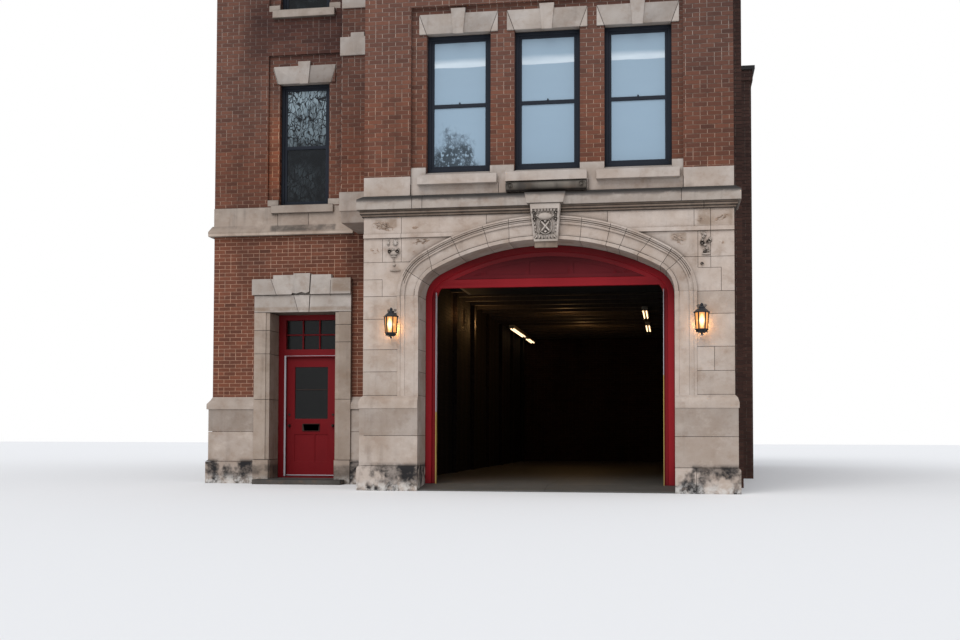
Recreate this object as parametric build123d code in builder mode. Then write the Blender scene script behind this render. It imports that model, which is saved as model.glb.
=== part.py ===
"""Brick and limestone fire station: a projecting apparatus bay with a wing beside it.

Millimetres, +Z up. X = 0 is the centre line of the apparatus doorway, Y = 0 is the front plane of the
main body and its wing, and Z = 0 is the ground. The street lies towards -Y.
"""
import os
from math import atan2, degrees

from build123d import *

# Plan of the masonry shell
BAY_WIDTH = 6200
BAY_PROJECTION = 2350
WING_WIDTH = 3650
RIGHT_RETURN = 270
BODY_DEPTH = 17650
BRICK_WALL = 330
LOWER_WING_WALL = 600
STRIP_WIDTH = 750
STRIP_PROJECTION = 1170

# Levels
FLOOR_TOP = 100
SECOND_FLOOR_TOP = 4600
STOREY = 3840
FLOOR_DEPTH = 200
PARAPET_HEIGHT = 900
COPING_THICK = 110
COPING_PROUD = 60
APRON_EDGE = 25

# Limestone piers and arch
STONE_DEPTH = 850
STONE_OPENING_WIDTH = 4280
PLINTH_HEIGHT = 420
PLINTH_PROUD = 85
PLINTH_ROUND = 60
DADO_TOP = 1390
DADO_PROUD = 50
PIER_CAP_HEIGHT = 210
PIER_CAP_LIP = 15
PIER_CAP_FACE = 90
PIER_CAP_NECK = 45
PIER_CAP_NECK_DROP = 50
PIER_CAP_FOOT = 20
PIER_CAP_FOOT_DROP = 15
SPRING_LEVEL = 3300
ARCH_RISE = 906
ARCH_HAUNCH = 490
RING_AT_SPRING = 360
RING_AT_CROWN = 390
RING_HAUNCH = 820
RING_PROUD = 25
LABEL_WIDTH = 50
LABEL_PROUD = 75
FILLET_WIDTH = 75
FILLET_PROUD = 50
BEAD_RADIUS = 35
STRING_LEVEL = 4290
STRING_HEIGHT = 70
STRING_PROUD = 35

# Bay cornice and sill course
CORNICE_LEVEL = 4650
CORNICE_BED = 120
CORNICE_FASCIA = 180
CORNICE_WEATHERING = 60
CORNICE_PROUD = 110
BED_PROUD = 60
BED_FILLET = 45
COURSE_TOP = 5335
COURSE_RECESS = 30
END_BLOCK_PROUD = 20
SILL_TOP = 5430
SILL_HEIGHT = 155
SILL_PROUD = 90
MIDDLE_SILL_PROUD = 125
LUG_HEIGHT = 155
LUG_PROUD = 50
LEDGE_WIDTH = 1344
LEDGE_RADIUS = 82

# Keystone, on the centre line of the upper floors
UPPER_AXIS = 35
KEY_TOP_WIDTH = 500
KEY_FOOT_WIDTH = 380
KEY_FOOT_LEVEL = 4060
KEY_TOP_LEVEL = 4770
KEY_PROUD_TOP = 250
KEY_PROUD_FOOT = 110
KEY_CREST_DEPTH = 90
KEY_CURVE = (-0.2, 1)
KEY_FOOT_BLOCK_HEIGHT = 90
KEY_FOOT_BLOCK_PROUD = 70
KEY_BREAK_WIDTH = 680
KEY_BREAK_FOOT = 600

# Bay windows
BAY_WINDOW_WIDTH = 1110
BAY_WINDOW_HEIGHT = 2360
BAY_WINDOW_PITCH = 1515
PILASTER_WIDTH = 810
FIELD_RECESS = 80
FIELD_TOP = 8250
LINTEL_HEIGHT = 345
LINTEL_BEARING = 125
LINTEL_PROUD = 30
KEYBLOCK_WIDTH = 255
KEYBLOCK_FOOT = 175
KEYBLOCK_RISE = 80
KEYBLOCK_DROP = 20
KEYBLOCK_PROUD = 60

# Wing, side and rear windows
WING_WINDOW_FROM_BAY = 1850
WING_WINDOW_WIDTH = 1000
WING_WINDOW_HEIGHT = 2405
WING_SILL_TOP = 5385
PANEL_MARGIN = 220
PANEL_RECESS = 50
SIDE_WINDOW_COUNT = 4
SIDE_WINDOW_FIRST = 3300
SIDE_WINDOW_LAST = 2350
REAR_WINDOW_COUNT = 3
REAR_WINDOW_END = 2160

# Window joinery
WINDOW_SETBACK = 110
FRAME_FACE = 60
FRAME_DEPTH = 110
SASH_FACE = 50
SASH_DEPTH = 45
MEETING_RAIL = 65
MEETING_DROP = 30
GLASS_THICK = 8
BLIND_THICK = 6
BLIND_DROP = 1900

# Wing stonework
BELT_TOP = 5360
BELT_LEVEL = 5010
BELT_MOULD_LEVEL = 4800
BELT_PROUD = 30
BELT_MOULD_PROUD = 95
BELT_NOSE_RISE = 60
BELT_NOSE_TOP = 100
BELT_STOP = 160
WING_LUG_HEIGHT = 120
BLIND_LINTEL_RISE = 85
BLIND_KEY_SHIFT = 80
UPPER_BLOCK_DROP = 100
BASE_TOP = 1670
BASE_CAP_HEIGHT = 240
BASE_PROUD = 60
BASE_CAP_PROUD = 90
BASE_PLINTH_PROUD = 100
BASE_PLINTH_SLOPE = 30
BASE_CAP_FACE = 100
BASE_CAP_NECK = 30
BASE_CAP_NECK_DROP = 60

# Side entrance
ENTRY_FROM_BAY = 1815
ENTRY_WIDTH = 1310
ENTRY_TOP = 3300
SURROUND_WIDTH = 310
SURROUND_PROUD = 100
ENTRY_LINTEL_HEIGHT = 335
HOOD_END_RISE = 310
HOOD_SHOULDER_RISE = 380
HOOD_SHOULDER_WIDTH = 1160
HOOD_KEY_RISE = 410
HOOD_KEY_WIDTH = 340
HOOD_PROUD = 140
HOOD_LEFT_REACH = 40
JAMB_MOULD_WIDTH = 75
JAMB_MOULD_DEPTH = 20
JAMB_FOOT_HEIGHT = 460
JAMB_FOOT_PROUD = 30
ENTRY_REVEAL = 450
LEAF_WIDTH = 1010
LEAF_HEIGHT = 2330
LEAF_THICK = 45
LEAF_GAP = 6
LEAF_STILE = 170
LEAF_GLASS_SILL = 1125
LEAF_GLASS_HEAD = 185
LEAF_PANEL_FOOT = 280
LEAF_PANEL_TOP = 815
LEAF_PANEL_STILE = 40
LEAF_PANEL_SHARE = 0.56
LEAF_PANEL_DEPTH = 12
SLOT_WIDTH = 350
SLOT_HEIGHT = 135
SLOT_LEVEL = 885
SLOT_PROUD = 20
KNOB_RADIUS = 32
KNOB_REACH = 60
KNOB_TAPER = 12
BOLT_RADIUS = 22
BOLT_REACH = 18
KNOB_LEVEL = 992
BOLT_RISE = 216
KNOB_INSET = 60
HARDWARE_SIDES = 10
THRESHOLD_HEIGHT = 24
ENTRY_FRAME_DEPTH = 110
TRANSOM_BAR = 155
TRANSOM_HEAD = 103
TRANSOM_BARS = 2
MUNTIN = 26
MUNTIN_SETBACK = 40
MUNTIN_DEPTH = 40
HINGE_COUNT = 3
KNUCKLES = 3
HINGE_HEIGHT = 100
HINGE_END = 230
KNUCKLE_RADIUS = 9
KNUCKLE_SIDES = 8
PIN_RADIUS = 5
PIN_CLEARANCE = 0.4
KNUCKLE_GAP = 1
HINGE_PLATE = 45
HINGE_PLATE_THICK = 3
STEP_HEIGHT = 90
STEP_REACH = 300
STEP_INSET = 100

# Red apparatus door frame
DOOR_SETBACK = 600
DOOR_CLEAR_WIDTH = 3920
DOOR_HEAD = 3505
DOOR_BEAM_HEIGHT = 145
DOOR_FRAME_DEPTH = 150
DOOR_JAMB_STEP = 60
DOOR_JAMB_FACE = 110
TYMPANUM_THICK = 70
TYMPANUM_RAIL = 70
TYMPANUM_PANELS = 5
TYMPANUM_STILE = 90
TYMPANUM_PANEL_DEPTH = 15

# Raised overhead door
CURTAIN_THICK = 45
CURTAIN_SECTIONS = 6
CURTAIN_SECTION = 560
CURTAIN_GAP = 6
CURTAIN_LEVEL = 3830
TRACK_WIDTH = 60
TRACK_HEIGHT = 50

# Interior of the apparatus room
JOIST_DEPTH = 260
JOIST_WIDTH = 140
JOIST_PITCH = 900
RIB_WIDTH = 220
RIB_PROUD = 90
RIB_PITCH = 2400
LIGHT_WIDTH = 150
LIGHT_DEPTH = 90
SHORT_LIGHT = 2900
LONG_LIGHT = 5400
LONG_LIGHT_INSET = 320
LONG_LIGHT_END = 220
SHORT_LIGHT_INSET = 1590
SHORT_LIGHT_FIRST = 7400
SHORT_LIGHT_PITCH = 3900
SHORT_LIGHT_COUNT = 2

# Top cornice
TOP_CORNICE_DROP = 160
TOP_CORNICE_HEIGHT = 520
TOP_CORNICE_PROUD = 330
TOP_BED_FOOT = 90
TOP_BED_CREST = 110
TOP_BED_HEIGHT = 120
TOP_COVE_PROUD = 198
TOP_COVE_HEIGHT = 260
TOP_FACE_HEIGHT = 300
TOP_SLOPE = 60

# Lanterns
LANTERN_INSET = 530
LANTERN_LEVEL = 2560
LANTERN_TAIL_HEIGHT = 95
LANTERN_BODY_HEIGHT = 270
LANTERN_ROOF_HEIGHT = 90
LANTERN_FINIAL_HEIGHT = 70
LANTERN_SIDES = 6
LANTERN_TAIL_RADIUS = 30
LANTERN_FOOT_RADIUS = 95
LANTERN_TOP_RADIUS = 112
LANTERN_EAVES_RADIUS = 132
LANTERN_CROWN_RADIUS = 45
LANTERN_FINIAL_RADIUS = 32
LANTERN_REACH = 190
BRACKET_WIDTH = 40
BRACKET_HEIGHT = 30
BRACKET_PLATE_WIDTH = 110
BRACKET_PLATE_HEIGHT = 200
BRACKET_PLATE_THICK = 15

# Chimney breast on the right side
CHIMNEY_SHARE = 0.55
CHIMNEY_WIDTH = 1500
CHIMNEY_PROUD = 500
CHIMNEY_TOP = 9100
CHIMNEY_HEAD_HEIGHT = 240
CHIMNEY_HEAD_PROUD = 35
CHIMNEY_CAP_HEIGHT = 90
CHIMNEY_CAP_PROUD = 80

# Worked out from the sizes above
BAY_HALF = BAY_WIDTH / 2
BAY_FRONT = -BAY_PROJECTION
LEFT = -BAY_HALF - WING_WIDTH
RIGHT = BAY_HALF + RIGHT_RETURN
REAR = BODY_DEPTH
THIRD_FLOOR_TOP = SECOND_FLOOR_TOP + STOREY
ROOF_TOP = THIRD_FLOOR_TOP + STOREY
PARAPET_TOP = ROOF_TOP + PARAPET_HEIGHT
CORNICE_BED_TOP = CORNICE_LEVEL + CORNICE_BED
CORNICE_FASCIA_TOP = CORNICE_BED_TOP + CORNICE_FASCIA
CORNICE_TOP = CORNICE_FASCIA_TOP + CORNICE_WEATHERING
STONE_HALF = STONE_OPENING_WIDTH / 2
FRAME_HALF = DOOR_CLEAR_WIDTH / 2
STONE_BACK = BAY_FRONT + STONE_DEPTH
PIER_CAP_TOP = DADO_TOP + PIER_CAP_HEIGHT
DOOR_FRONT = BAY_FRONT + DOOR_SETBACK
DOOR_BAND = STONE_HALF - FRAME_HALF
BAY_WINDOWS_X = (UPPER_AXIS - BAY_WINDOW_PITCH, UPPER_AXIS, UPPER_AXIS + BAY_WINDOW_PITCH)
BAY_WINDOW_HALF = BAY_WINDOW_WIDTH / 2
WING_WINDOW_X = -BAY_HALF - WING_WINDOW_FROM_BAY
FIELD_FACE = BAY_FRONT + FIELD_RECESS
FIELD_HALF = BAY_HALF - PILASTER_WIDTH
STRIP_LEFT = -BAY_HALF - STRIP_WIDTH
STRIP_MIDDLE = -BAY_HALF - STRIP_WIDTH / 2
STRIP_FRONT = -STRIP_PROJECTION
BELT_END_X = STRIP_LEFT - BELT_STOP
INNER_LEFT = LEFT + BRICK_WALL
INNER_RIGHT = RIGHT - BRICK_WALL
INNER_REAR = REAR - BRICK_WALL
BEARING_RIGHT = -BAY_HALF + BRICK_WALL
JOIST_TOP = SECOND_FLOOR_TOP - FLOOR_DEPTH
JOIST_FOOT = JOIST_TOP - JOIST_DEPTH
JOISTS = int((INNER_REAR - STONE_BACK - JOIST_WIDTH) // JOIST_PITCH)
JOISTS_Y = [STONE_BACK + (n + 1) * JOIST_PITCH for n in range(JOISTS)]
ENTRY_X = -BAY_HALF - ENTRY_FROM_BAY
ENTRY_LEFT = ENTRY_X - ENTRY_WIDTH / 2
ENTRY_RIGHT = ENTRY_X + ENTRY_WIDTH / 2
SURROUND_LEFT = ENTRY_LEFT - SURROUND_WIDTH
SURROUND_RIGHT = ENTRY_RIGHT + SURROUND_WIDTH
SURROUND_TOP = ENTRY_TOP + ENTRY_LINTEL_HEIGHT
LEAF_LEFT = ENTRY_X - LEAF_WIDTH / 2
LEAF_FOOT = FLOOR_TOP + THRESHOLD_HEIGHT + LEAF_GAP
LEAF_TOP = LEAF_FOOT + LEAF_HEIGHT
LEAF_BACK = ENTRY_REVEAL + ENTRY_FRAME_DEPTH
LEAF_FRONT = LEAF_BACK - LEAF_THICK
HINGE_X = LEAF_LEFT - LEAF_GAP / 2
HINGE_Y = LEAF_BACK + KNUCKLE_RADIUS
HINGE_SPAN = LEAF_HEIGHT - 2 * HINGE_END - HINGE_HEIGHT
HINGES_Z = [LEAF_FOOT + HINGE_END + n * HINGE_SPAN / (HINGE_COUNT - 1) for n in range(HINGE_COUNT)]
WING_SILLS = (WING_SILL_TOP, WING_SILL_TOP + STOREY)
SIDE_WINDOW_PITCH = (REAR - SIDE_WINDOW_FIRST - SIDE_WINDOW_LAST) / (SIDE_WINDOW_COUNT - 1)
SIDE_WINDOWS_Y = [SIDE_WINDOW_FIRST + n * SIDE_WINDOW_PITCH for n in range(SIDE_WINDOW_COUNT)]
CHIMNEY_FRONT = SIDE_WINDOW_FIRST + CHIMNEY_SHARE * SIDE_WINDOW_PITCH - CHIMNEY_WIDTH / 2
REAR_WINDOW_PITCH = (RIGHT - LEFT - 2 * REAR_WINDOW_END) / (REAR_WINDOW_COUNT - 1)
REAR_WINDOWS_X = [LEFT + REAR_WINDOW_END + n * REAR_WINDOW_PITCH for n in range(REAR_WINDOW_COUNT)]
LEAF_RIGHT = LEAF_LEFT + LEAF_WIDTH
LANTERN_X = BAY_HALF - LANTERN_INSET


def keep(piece, name):
    """Label a finished piece and write it as its own file."""
    piece.part.label = name
    export_step(piece.part, f"parts/{name}.step")


def block(low, high, mode=Mode.ADD):
    """Straight block between its low and its high corner, in the current part."""
    with Locations(tuple((a + b) / 2 for a, b in zip(low, high))):
        Box(*(b - a for a, b in zip(low, high)), mode=mode)


def upright(y):
    """Upright drawing plane at a distance Y, facing the street: sketch X is X, sketch Y is height."""
    return Plane.XZ.offset(-y)


def side_plane(x):
    """Upright drawing plane at X, facing +X: sketch X is Y, sketch Y is height."""
    return Plane.YZ.offset(x)


def panel(x0, z0, x1, z1, mode=Mode.ADD):
    """Rectangle between two corners, in the current sketch."""
    with Locations(((x0 + x1) / 2, (z0 + z1) / 2)):
        Rectangle(x1 - x0, z1 - z0, mode=mode)


def outline(*points, mode=Mode.ADD):
    """Straight-sided face through its corners, in the current sketch."""
    Polygon(*points, align=None, mode=mode)


def arch_face(half_span, rise, haunch, spring, base, mode=Mode.ADD):
    """Basket-handle arch, of a wide crown arc between two tight haunch arcs, down to a level base."""
    crown = (half_span**2 + rise**2 - 2 * half_span * haunch) / (2 * (rise - haunch))
    haunch_x = half_span - haunch
    drop = crown - rise
    turn = degrees(atan2(drop, haunch_x))
    with BuildLine() as edge:
        CenterArc((haunch_x, spring), haunch, 0, turn)
        CenterArc((0, spring - drop), crown, turn, 180 - 2 * turn)
        CenterArc((-haunch_x, spring), haunch, 180 - turn, turn)
        if base < spring:
            Polyline((-half_span, spring), (-half_span, base), (half_span, base), (half_span, spring))
        else:
            Line((-half_span, spring), (half_span, spring))
    make_face(edge.edges(), mode=mode)


def moulding(run, profile):
    """Mitred moulding: a profile of (outward, height) points swept along a level run of (x, y) points.

    The outward side is on the left of the direction of travel.
    """
    start, after = Vector(*run[0], 0), Vector(*run[1], 0)
    travel = (after - start).normalized()
    outward = Vector(0, 0, 1).cross(travel)
    with BuildLine() as path:
        Polyline(*((x, y, 0) for x, y in run))
    with BuildSketch(Plane(origin=start, x_dir=outward, z_dir=travel)) as section:
        Polygon(*profile, align=None)
    sweep(section.sketch, path=path.wire(), transition=Transition.RIGHT)


def floor_slab():
    """Ground floor, inside the walls and out to the apparatus doorway, with a sloped apron edge."""
    inner_bay = BAY_HALF - BRICK_WALL
    with BuildPart() as slab:
        with BuildSketch():
            outline((BEARING_RIGHT, STONE_BACK), (BEARING_RIGHT, INNER_REAR), (INNER_RIGHT, INNER_REAR),
                    (INNER_RIGHT, 0), (inner_bay, 0), (inner_bay, STONE_BACK), (STONE_HALF, STONE_BACK),
                    (STONE_HALF, DOOR_FRONT), (-STONE_HALF, DOOR_FRONT), (-STONE_HALF, STONE_BACK))
            panel(INNER_LEFT, LOWER_WING_WALL, -BAY_HALF, INNER_REAR)
            panel(ENTRY_LEFT, 0, ENTRY_RIGHT, LOWER_WING_WALL)
        extrude(amount=FLOOR_TOP)
        with BuildSketch(side_plane(-STONE_HALF)):
            outline((DOOR_FRONT, 0), (DOOR_FRONT, FLOOR_TOP), (BAY_FRONT, APRON_EDGE), (BAY_FRONT, 0))
        extrude(amount=STONE_OPENING_WIDTH)
    keep(slab, "floor_slab")


def lintel_outline(x, head, width, mode=Mode.ADD):
    """Front outline of a lintel over an opening, in the current sketch."""
    reach = width / 2 + LINTEL_BEARING
    panel(x - reach, head, x + reach, head + LINTEL_HEIGHT, mode)


def keyblock_outline(x, head):
    """Front outline of a lintel's wedge-shaped middle block, in the current sketch."""
    low = head - KEYBLOCK_DROP
    top = head + LINTEL_HEIGHT + KEYBLOCK_RISE
    outline((x - KEYBLOCK_FOOT / 2, low), (x + KEYBLOCK_FOOT / 2, low), (x + KEYBLOCK_WIDTH / 2, top),
            (x - KEYBLOCK_WIDTH / 2, top))


def window_cut(x, sill, width, height):
    """Cut an opening with the beds of its sill and its lintel in the current sketch."""
    reach = width / 2 + LINTEL_BEARING
    panel(x - width / 2, sill, x + width / 2, sill + height, Mode.SUBTRACT)
    panel(x - reach, sill - SILL_HEIGHT, x + reach, sill, Mode.SUBTRACT)
    lintel_outline(x, sill + height, width, Mode.SUBTRACT)


def wing_walls():
    """Wing front: thick brickwork beside the entrance, and the upper wall with two panelled windows."""
    with BuildPart() as left:
        block((LEFT, 0, 0), (SURROUND_LEFT, LOWER_WING_WALL, SURROUND_TOP))
    keep(left, "wing_wall_left")
    with BuildPart() as right:
        block((SURROUND_RIGHT, 0, 0), (-BAY_HALF, LOWER_WING_WALL, SURROUND_TOP))
    keep(right, "wing_wall_right")

    half = WING_WINDOW_WIDTH / 2
    with BuildPart() as upper:
        with BuildSketch(upright(BRICK_WALL)):
            panel(LEFT, SURROUND_TOP, -BAY_HALF, PARAPET_TOP)
            for sill in WING_SILLS:
                window_cut(WING_WINDOW_X, sill, WING_WINDOW_WIDTH, WING_WINDOW_HEIGHT)
        extrude(amount=BRICK_WALL)
        with BuildSketch(upright(PANEL_RECESS)):
            for sill in WING_SILLS:
                top = sill + WING_WINDOW_HEIGHT + LINTEL_HEIGHT + PANEL_MARGIN
                panel(WING_WINDOW_X - half - PANEL_MARGIN, sill, WING_WINDOW_X + half + PANEL_MARGIN, top)
        extrude(amount=PANEL_RECESS, mode=Mode.SUBTRACT)
    keep(upper, "wing_wall_upper")


def side_wall(name, low_x, high_x):
    """Long side wall with a row of windows on each upper storey."""
    with BuildPart() as wall:
        with BuildSketch(side_plane(low_x)):
            panel(0, 0, REAR, PARAPET_TOP)
            for y in SIDE_WINDOWS_Y:
                for sill in WING_SILLS:
                    window_cut(y, sill, WING_WINDOW_WIDTH, WING_WINDOW_HEIGHT)
        extrude(amount=high_x - low_x)
        if name == "left_wall":
            block((low_x, 0, 0), (high_x, LOWER_WING_WALL, SURROUND_TOP), Mode.SUBTRACT)
            block((low_x, 0, SURROUND_TOP), (high_x, BRICK_WALL, PARAPET_TOP), Mode.SUBTRACT)
    keep(wall, name)


def rear_wall():
    """Rear wall with windows on each upper storey."""
    with BuildPart() as wall:
        with BuildSketch(upright(REAR)):
            panel(INNER_LEFT, 0, INNER_RIGHT, PARAPET_TOP)
            for x in REAR_WINDOWS_X:
                for sill in WING_SILLS:
                    window_cut(x, sill, WING_WINDOW_WIDTH, WING_WINDOW_HEIGHT)
        extrude(amount=BRICK_WALL)
    keep(wall, "rear_wall")


def bay_side_walls():
    """Side walls of the bay: behind the piers below the cornice, behind the brick front above it."""
    for name, low_x in (("bay_left_wall", -BAY_HALF), ("bay_right_wall", BAY_HALF - BRICK_WALL)):
        with BuildPart() as wall:
            with BuildSketch(side_plane(low_x)):
                outline((STONE_BACK, 0), (0, 0), (0, PARAPET_TOP), (BAY_FRONT + BRICK_WALL, PARAPET_TOP),
                        (BAY_FRONT + BRICK_WALL, COURSE_TOP), (STONE_BACK, COURSE_TOP))
            extrude(amount=BRICK_WALL)
        keep(wall, name)


def bearing_wall():
    """Wall between the apparatus room and the wing, with upright ribs on the room's side."""
    with BuildPart() as wall:
        block((-BAY_HALF, 0, 0), (BEARING_RIGHT, INNER_REAR, JOIST_TOP))
        y = LOWER_WING_WALL + RIB_PITCH / 2
        while y < INNER_REAR - RIB_WIDTH:
            block((BEARING_RIGHT, y, FLOOR_TOP), (BEARING_RIGHT + RIB_PROUD, y + RIB_WIDTH, JOIST_FOOT))
            y += RIB_PITCH
    keep(wall, "bearing_wall")


def piers():
    """Limestone pier beside the doorway: rounded plinth, dado, moulded cap and plain shaft."""
    inner, outer = -STONE_HALF, -BAY_HALF
    lip = DADO_PROUD + PIER_CAP_LIP
    with BuildPart() as left:
        with BuildSketch():
            panel(outer - PLINTH_PROUD, BAY_FRONT - PLINTH_PROUD, inner, STONE_BACK)
        extrude(amount=PLINTH_HEIGHT)
        top = left.edges().filter_by_position(Axis.Z, PLINTH_HEIGHT - 1, PLINTH_HEIGHT + 1)
        face, side = BAY_FRONT - PLINTH_PROUD, outer - PLINTH_PROUD
        rounded = top.filter_by_position(Axis.Y, face - 1, face + 1)
        fillet(rounded + top.filter_by_position(Axis.X, side - 1, side + 1), PLINTH_ROUND)
        with BuildSketch():
            panel(outer - DADO_PROUD, BAY_FRONT - DADO_PROUD, inner, STONE_BACK)
        extrude(amount=DADO_TOP)
        block((outer, BAY_FRONT, 0), (inner, STONE_BACK, SPRING_LEVEL))
        moulding(
            ((inner, BAY_FRONT), (outer, BAY_FRONT), (outer, STONE_BACK)),
            ((0, DADO_TOP), (lip, DADO_TOP), (lip, DADO_TOP + PIER_CAP_FACE),
             (PIER_CAP_NECK, PIER_CAP_TOP - PIER_CAP_NECK_DROP),
             (PIER_CAP_FOOT, PIER_CAP_TOP - PIER_CAP_FOOT_DROP), (0, PIER_CAP_TOP)))
    keep(left, "left_pier")
    with BuildPart() as right:
        mirror(left.part, about=Plane.YZ)
    keep(right, "right_pier")


def arch_wall():
    """Limestone wall over the arch, up to the cornice, with a thin string moulding on the spandrels."""
    extrados = STONE_HALF + RING_AT_SPRING
    ring_rise = ARCH_RISE + RING_AT_CROWN
    with BuildPart() as wall:
        with BuildSketch(upright(STONE_BACK)):
            panel(-BAY_HALF, SPRING_LEVEL, BAY_HALF, CORNICE_LEVEL)
            arch_face(extrados, ring_rise, RING_HAUNCH, SPRING_LEVEL, SPRING_LEVEL, Mode.SUBTRACT)
        extrude(amount=STONE_DEPTH)
        with BuildSketch(upright(BAY_FRONT)):
            panel(-BAY_HALF, STRING_LEVEL, BAY_HALF, STRING_LEVEL + STRING_HEIGHT)
            arch_face(extrados, ring_rise, RING_HAUNCH, SPRING_LEVEL, SPRING_LEVEL, Mode.SUBTRACT)
        extrude(amount=STRING_PROUD)
    keep(wall, "arch_wall")


def key_outline():
    """Front outline of the keystone, in the current sketch."""
    foot, top = KEY_FOOT_WIDTH / 2, KEY_TOP_WIDTH / 2
    outline((UPPER_AXIS - foot, KEY_FOOT_LEVEL), (UPPER_AXIS + foot, KEY_FOOT_LEVEL),
            (UPPER_AXIS + top, KEY_TOP_LEVEL), (UPPER_AXIS - top, KEY_TOP_LEVEL))


def ring_band(outer, inner, proud):
    """Proud band of the arch ring between two arches, each (half span, rise, haunch)."""
    with BuildSketch(upright(BAY_FRONT)) as band:
        arch_face(*outer, SPRING_LEVEL, SPRING_LEVEL)
        arch_face(*inner, SPRING_LEVEL, SPRING_LEVEL, Mode.SUBTRACT)
    extrude(band.sketch, amount=proud)


def arch_ring():
    """Moulded limestone arch ring: label moulding, fillet, flat face and a roll bead at the opening."""
    def arch_at(share):
        """Arch between the intrados (share 0) and the extrados (share 1)."""
        return (STONE_HALF + RING_AT_SPRING * share, ARCH_RISE + RING_AT_CROWN * share,
                ARCH_HAUNCH + (RING_HAUNCH - ARCH_HAUNCH) * share)

    label_share = 1 - LABEL_WIDTH / RING_AT_SPRING
    fillet_share = label_share - FILLET_WIDTH / RING_AT_SPRING
    bead_share = 2 * BEAD_RADIUS / RING_AT_SPRING
    with BuildPart() as ring:
        with BuildSketch(upright(STONE_BACK)):
            arch_face(*arch_at(1), SPRING_LEVEL, SPRING_LEVEL)
            arch_face(*arch_at(0), SPRING_LEVEL, SPRING_LEVEL, Mode.SUBTRACT)
        extrude(amount=STONE_DEPTH + RING_PROUD)
        ring_band(arch_at(1), arch_at(label_share), LABEL_PROUD)
        ring_band(arch_at(label_share), arch_at(fillet_share), FILLET_PROUD)
        ring_band(arch_at(bead_share), arch_at(0), FILLET_PROUD)
        with BuildSketch(upright(BAY_FRONT - RING_PROUD)):
            key_outline()
        extrude(amount=LABEL_PROUD, mode=Mode.SUBTRACT)
    keep(ring, "arch_ring")


def keystone():
    """Console keystone over the arch: an S-curved front, narrower at its foot."""
    with BuildPart() as key:
        with BuildSketch(side_plane(UPPER_AXIS - KEY_TOP_WIDTH / 2)):
            with BuildLine():
                block_top = KEY_FOOT_LEVEL + KEY_FOOT_BLOCK_HEIGHT
                foot = (BAY_FRONT - KEY_PROUD_FOOT, block_top)
                crest = (BAY_FRONT - KEY_PROUD_TOP, KEY_TOP_LEVEL - KEY_CREST_DEPTH)
                Spline(foot, crest, tangents=(KEY_CURVE, KEY_CURVE))
                Polyline(crest, (crest[0], KEY_TOP_LEVEL), (BAY_FRONT - RING_PROUD, KEY_TOP_LEVEL),
                         (BAY_FRONT - RING_PROUD, KEY_FOOT_LEVEL),
                         (BAY_FRONT - KEY_FOOT_BLOCK_PROUD, KEY_FOOT_LEVEL),
                         (BAY_FRONT - KEY_FOOT_BLOCK_PROUD, block_top), foot)
            make_face()
        extrude(amount=KEY_TOP_WIDTH)
        with BuildSketch(upright(BAY_FRONT)):
            key_outline()
        extrude(amount=2 * KEY_PROUD_TOP, mode=Mode.INTERSECT)
    keep(key, "keystone")


def bay_cornice():
    """Cornice across the bay: two fillets, a fascia and a weathered top, broken forward over the keystone."""
    foot, crest, key = KEY_BREAK_FOOT / 2, KEY_BREAK_WIDTH / 2, KEY_TOP_WIDTH / 2
    with BuildPart() as cornice:
        block((-BAY_HALF, BAY_FRONT, CORNICE_LEVEL), (BAY_HALF, STONE_BACK, CORNICE_TOP))
        moulding(
            ((BAY_HALF, STONE_BACK), (BAY_HALF, BAY_FRONT), (-BAY_HALF, BAY_FRONT), (-BAY_HALF, STONE_BACK)),
            ((0, CORNICE_LEVEL), (BED_PROUD / 2, CORNICE_LEVEL), (BED_PROUD / 2, CORNICE_LEVEL + BED_FILLET),
             (BED_PROUD, CORNICE_LEVEL + BED_FILLET), (BED_PROUD, CORNICE_BED_TOP),
             (CORNICE_PROUD, CORNICE_BED_TOP), (CORNICE_PROUD, CORNICE_FASCIA_TOP),
             (END_BLOCK_PROUD, CORNICE_TOP), (0, CORNICE_TOP)))
        with BuildSketch(upright(BAY_FRONT)):
            outline((UPPER_AXIS - foot, CORNICE_BED_TOP), (UPPER_AXIS + foot, CORNICE_BED_TOP),
                    (UPPER_AXIS + crest, CORNICE_FASCIA_TOP), (UPPER_AXIS - crest, CORNICE_FASCIA_TOP))
        extrude(amount=KEY_PROUD_TOP + RING_PROUD)
        block((UPPER_AXIS - key, BAY_FRONT - KEY_PROUD_TOP, CORNICE_LEVEL),
              (UPPER_AXIS + key, BAY_FRONT, CORNICE_BED_TOP), Mode.SUBTRACT)
    keep(cornice, "bay_cornice")


def lower_sill(x, proud):
    """Sill of a second-floor bay window: a level lip in front and a slope back to the frame."""
    reach = BAY_WINDOW_HALF + LINTEL_BEARING
    block((x - reach, BAY_FRONT - proud, COURSE_TOP - SILL_HEIGHT),
          (x + reach, BAY_FRONT + COURSE_RECESS, COURSE_TOP))
    with BuildSketch(side_plane(x - BAY_WINDOW_HALF)) as slope:
        outline((BAY_FRONT - proud, COURSE_TOP), (FIELD_FACE + WINDOW_SETBACK, SILL_TOP),
                (BAY_FRONT + BRICK_WALL, SILL_TOP), (BAY_FRONT + BRICK_WALL, COURSE_TOP))
    extrude(slope.sketch, amount=BAY_WINDOW_WIDTH)


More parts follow.
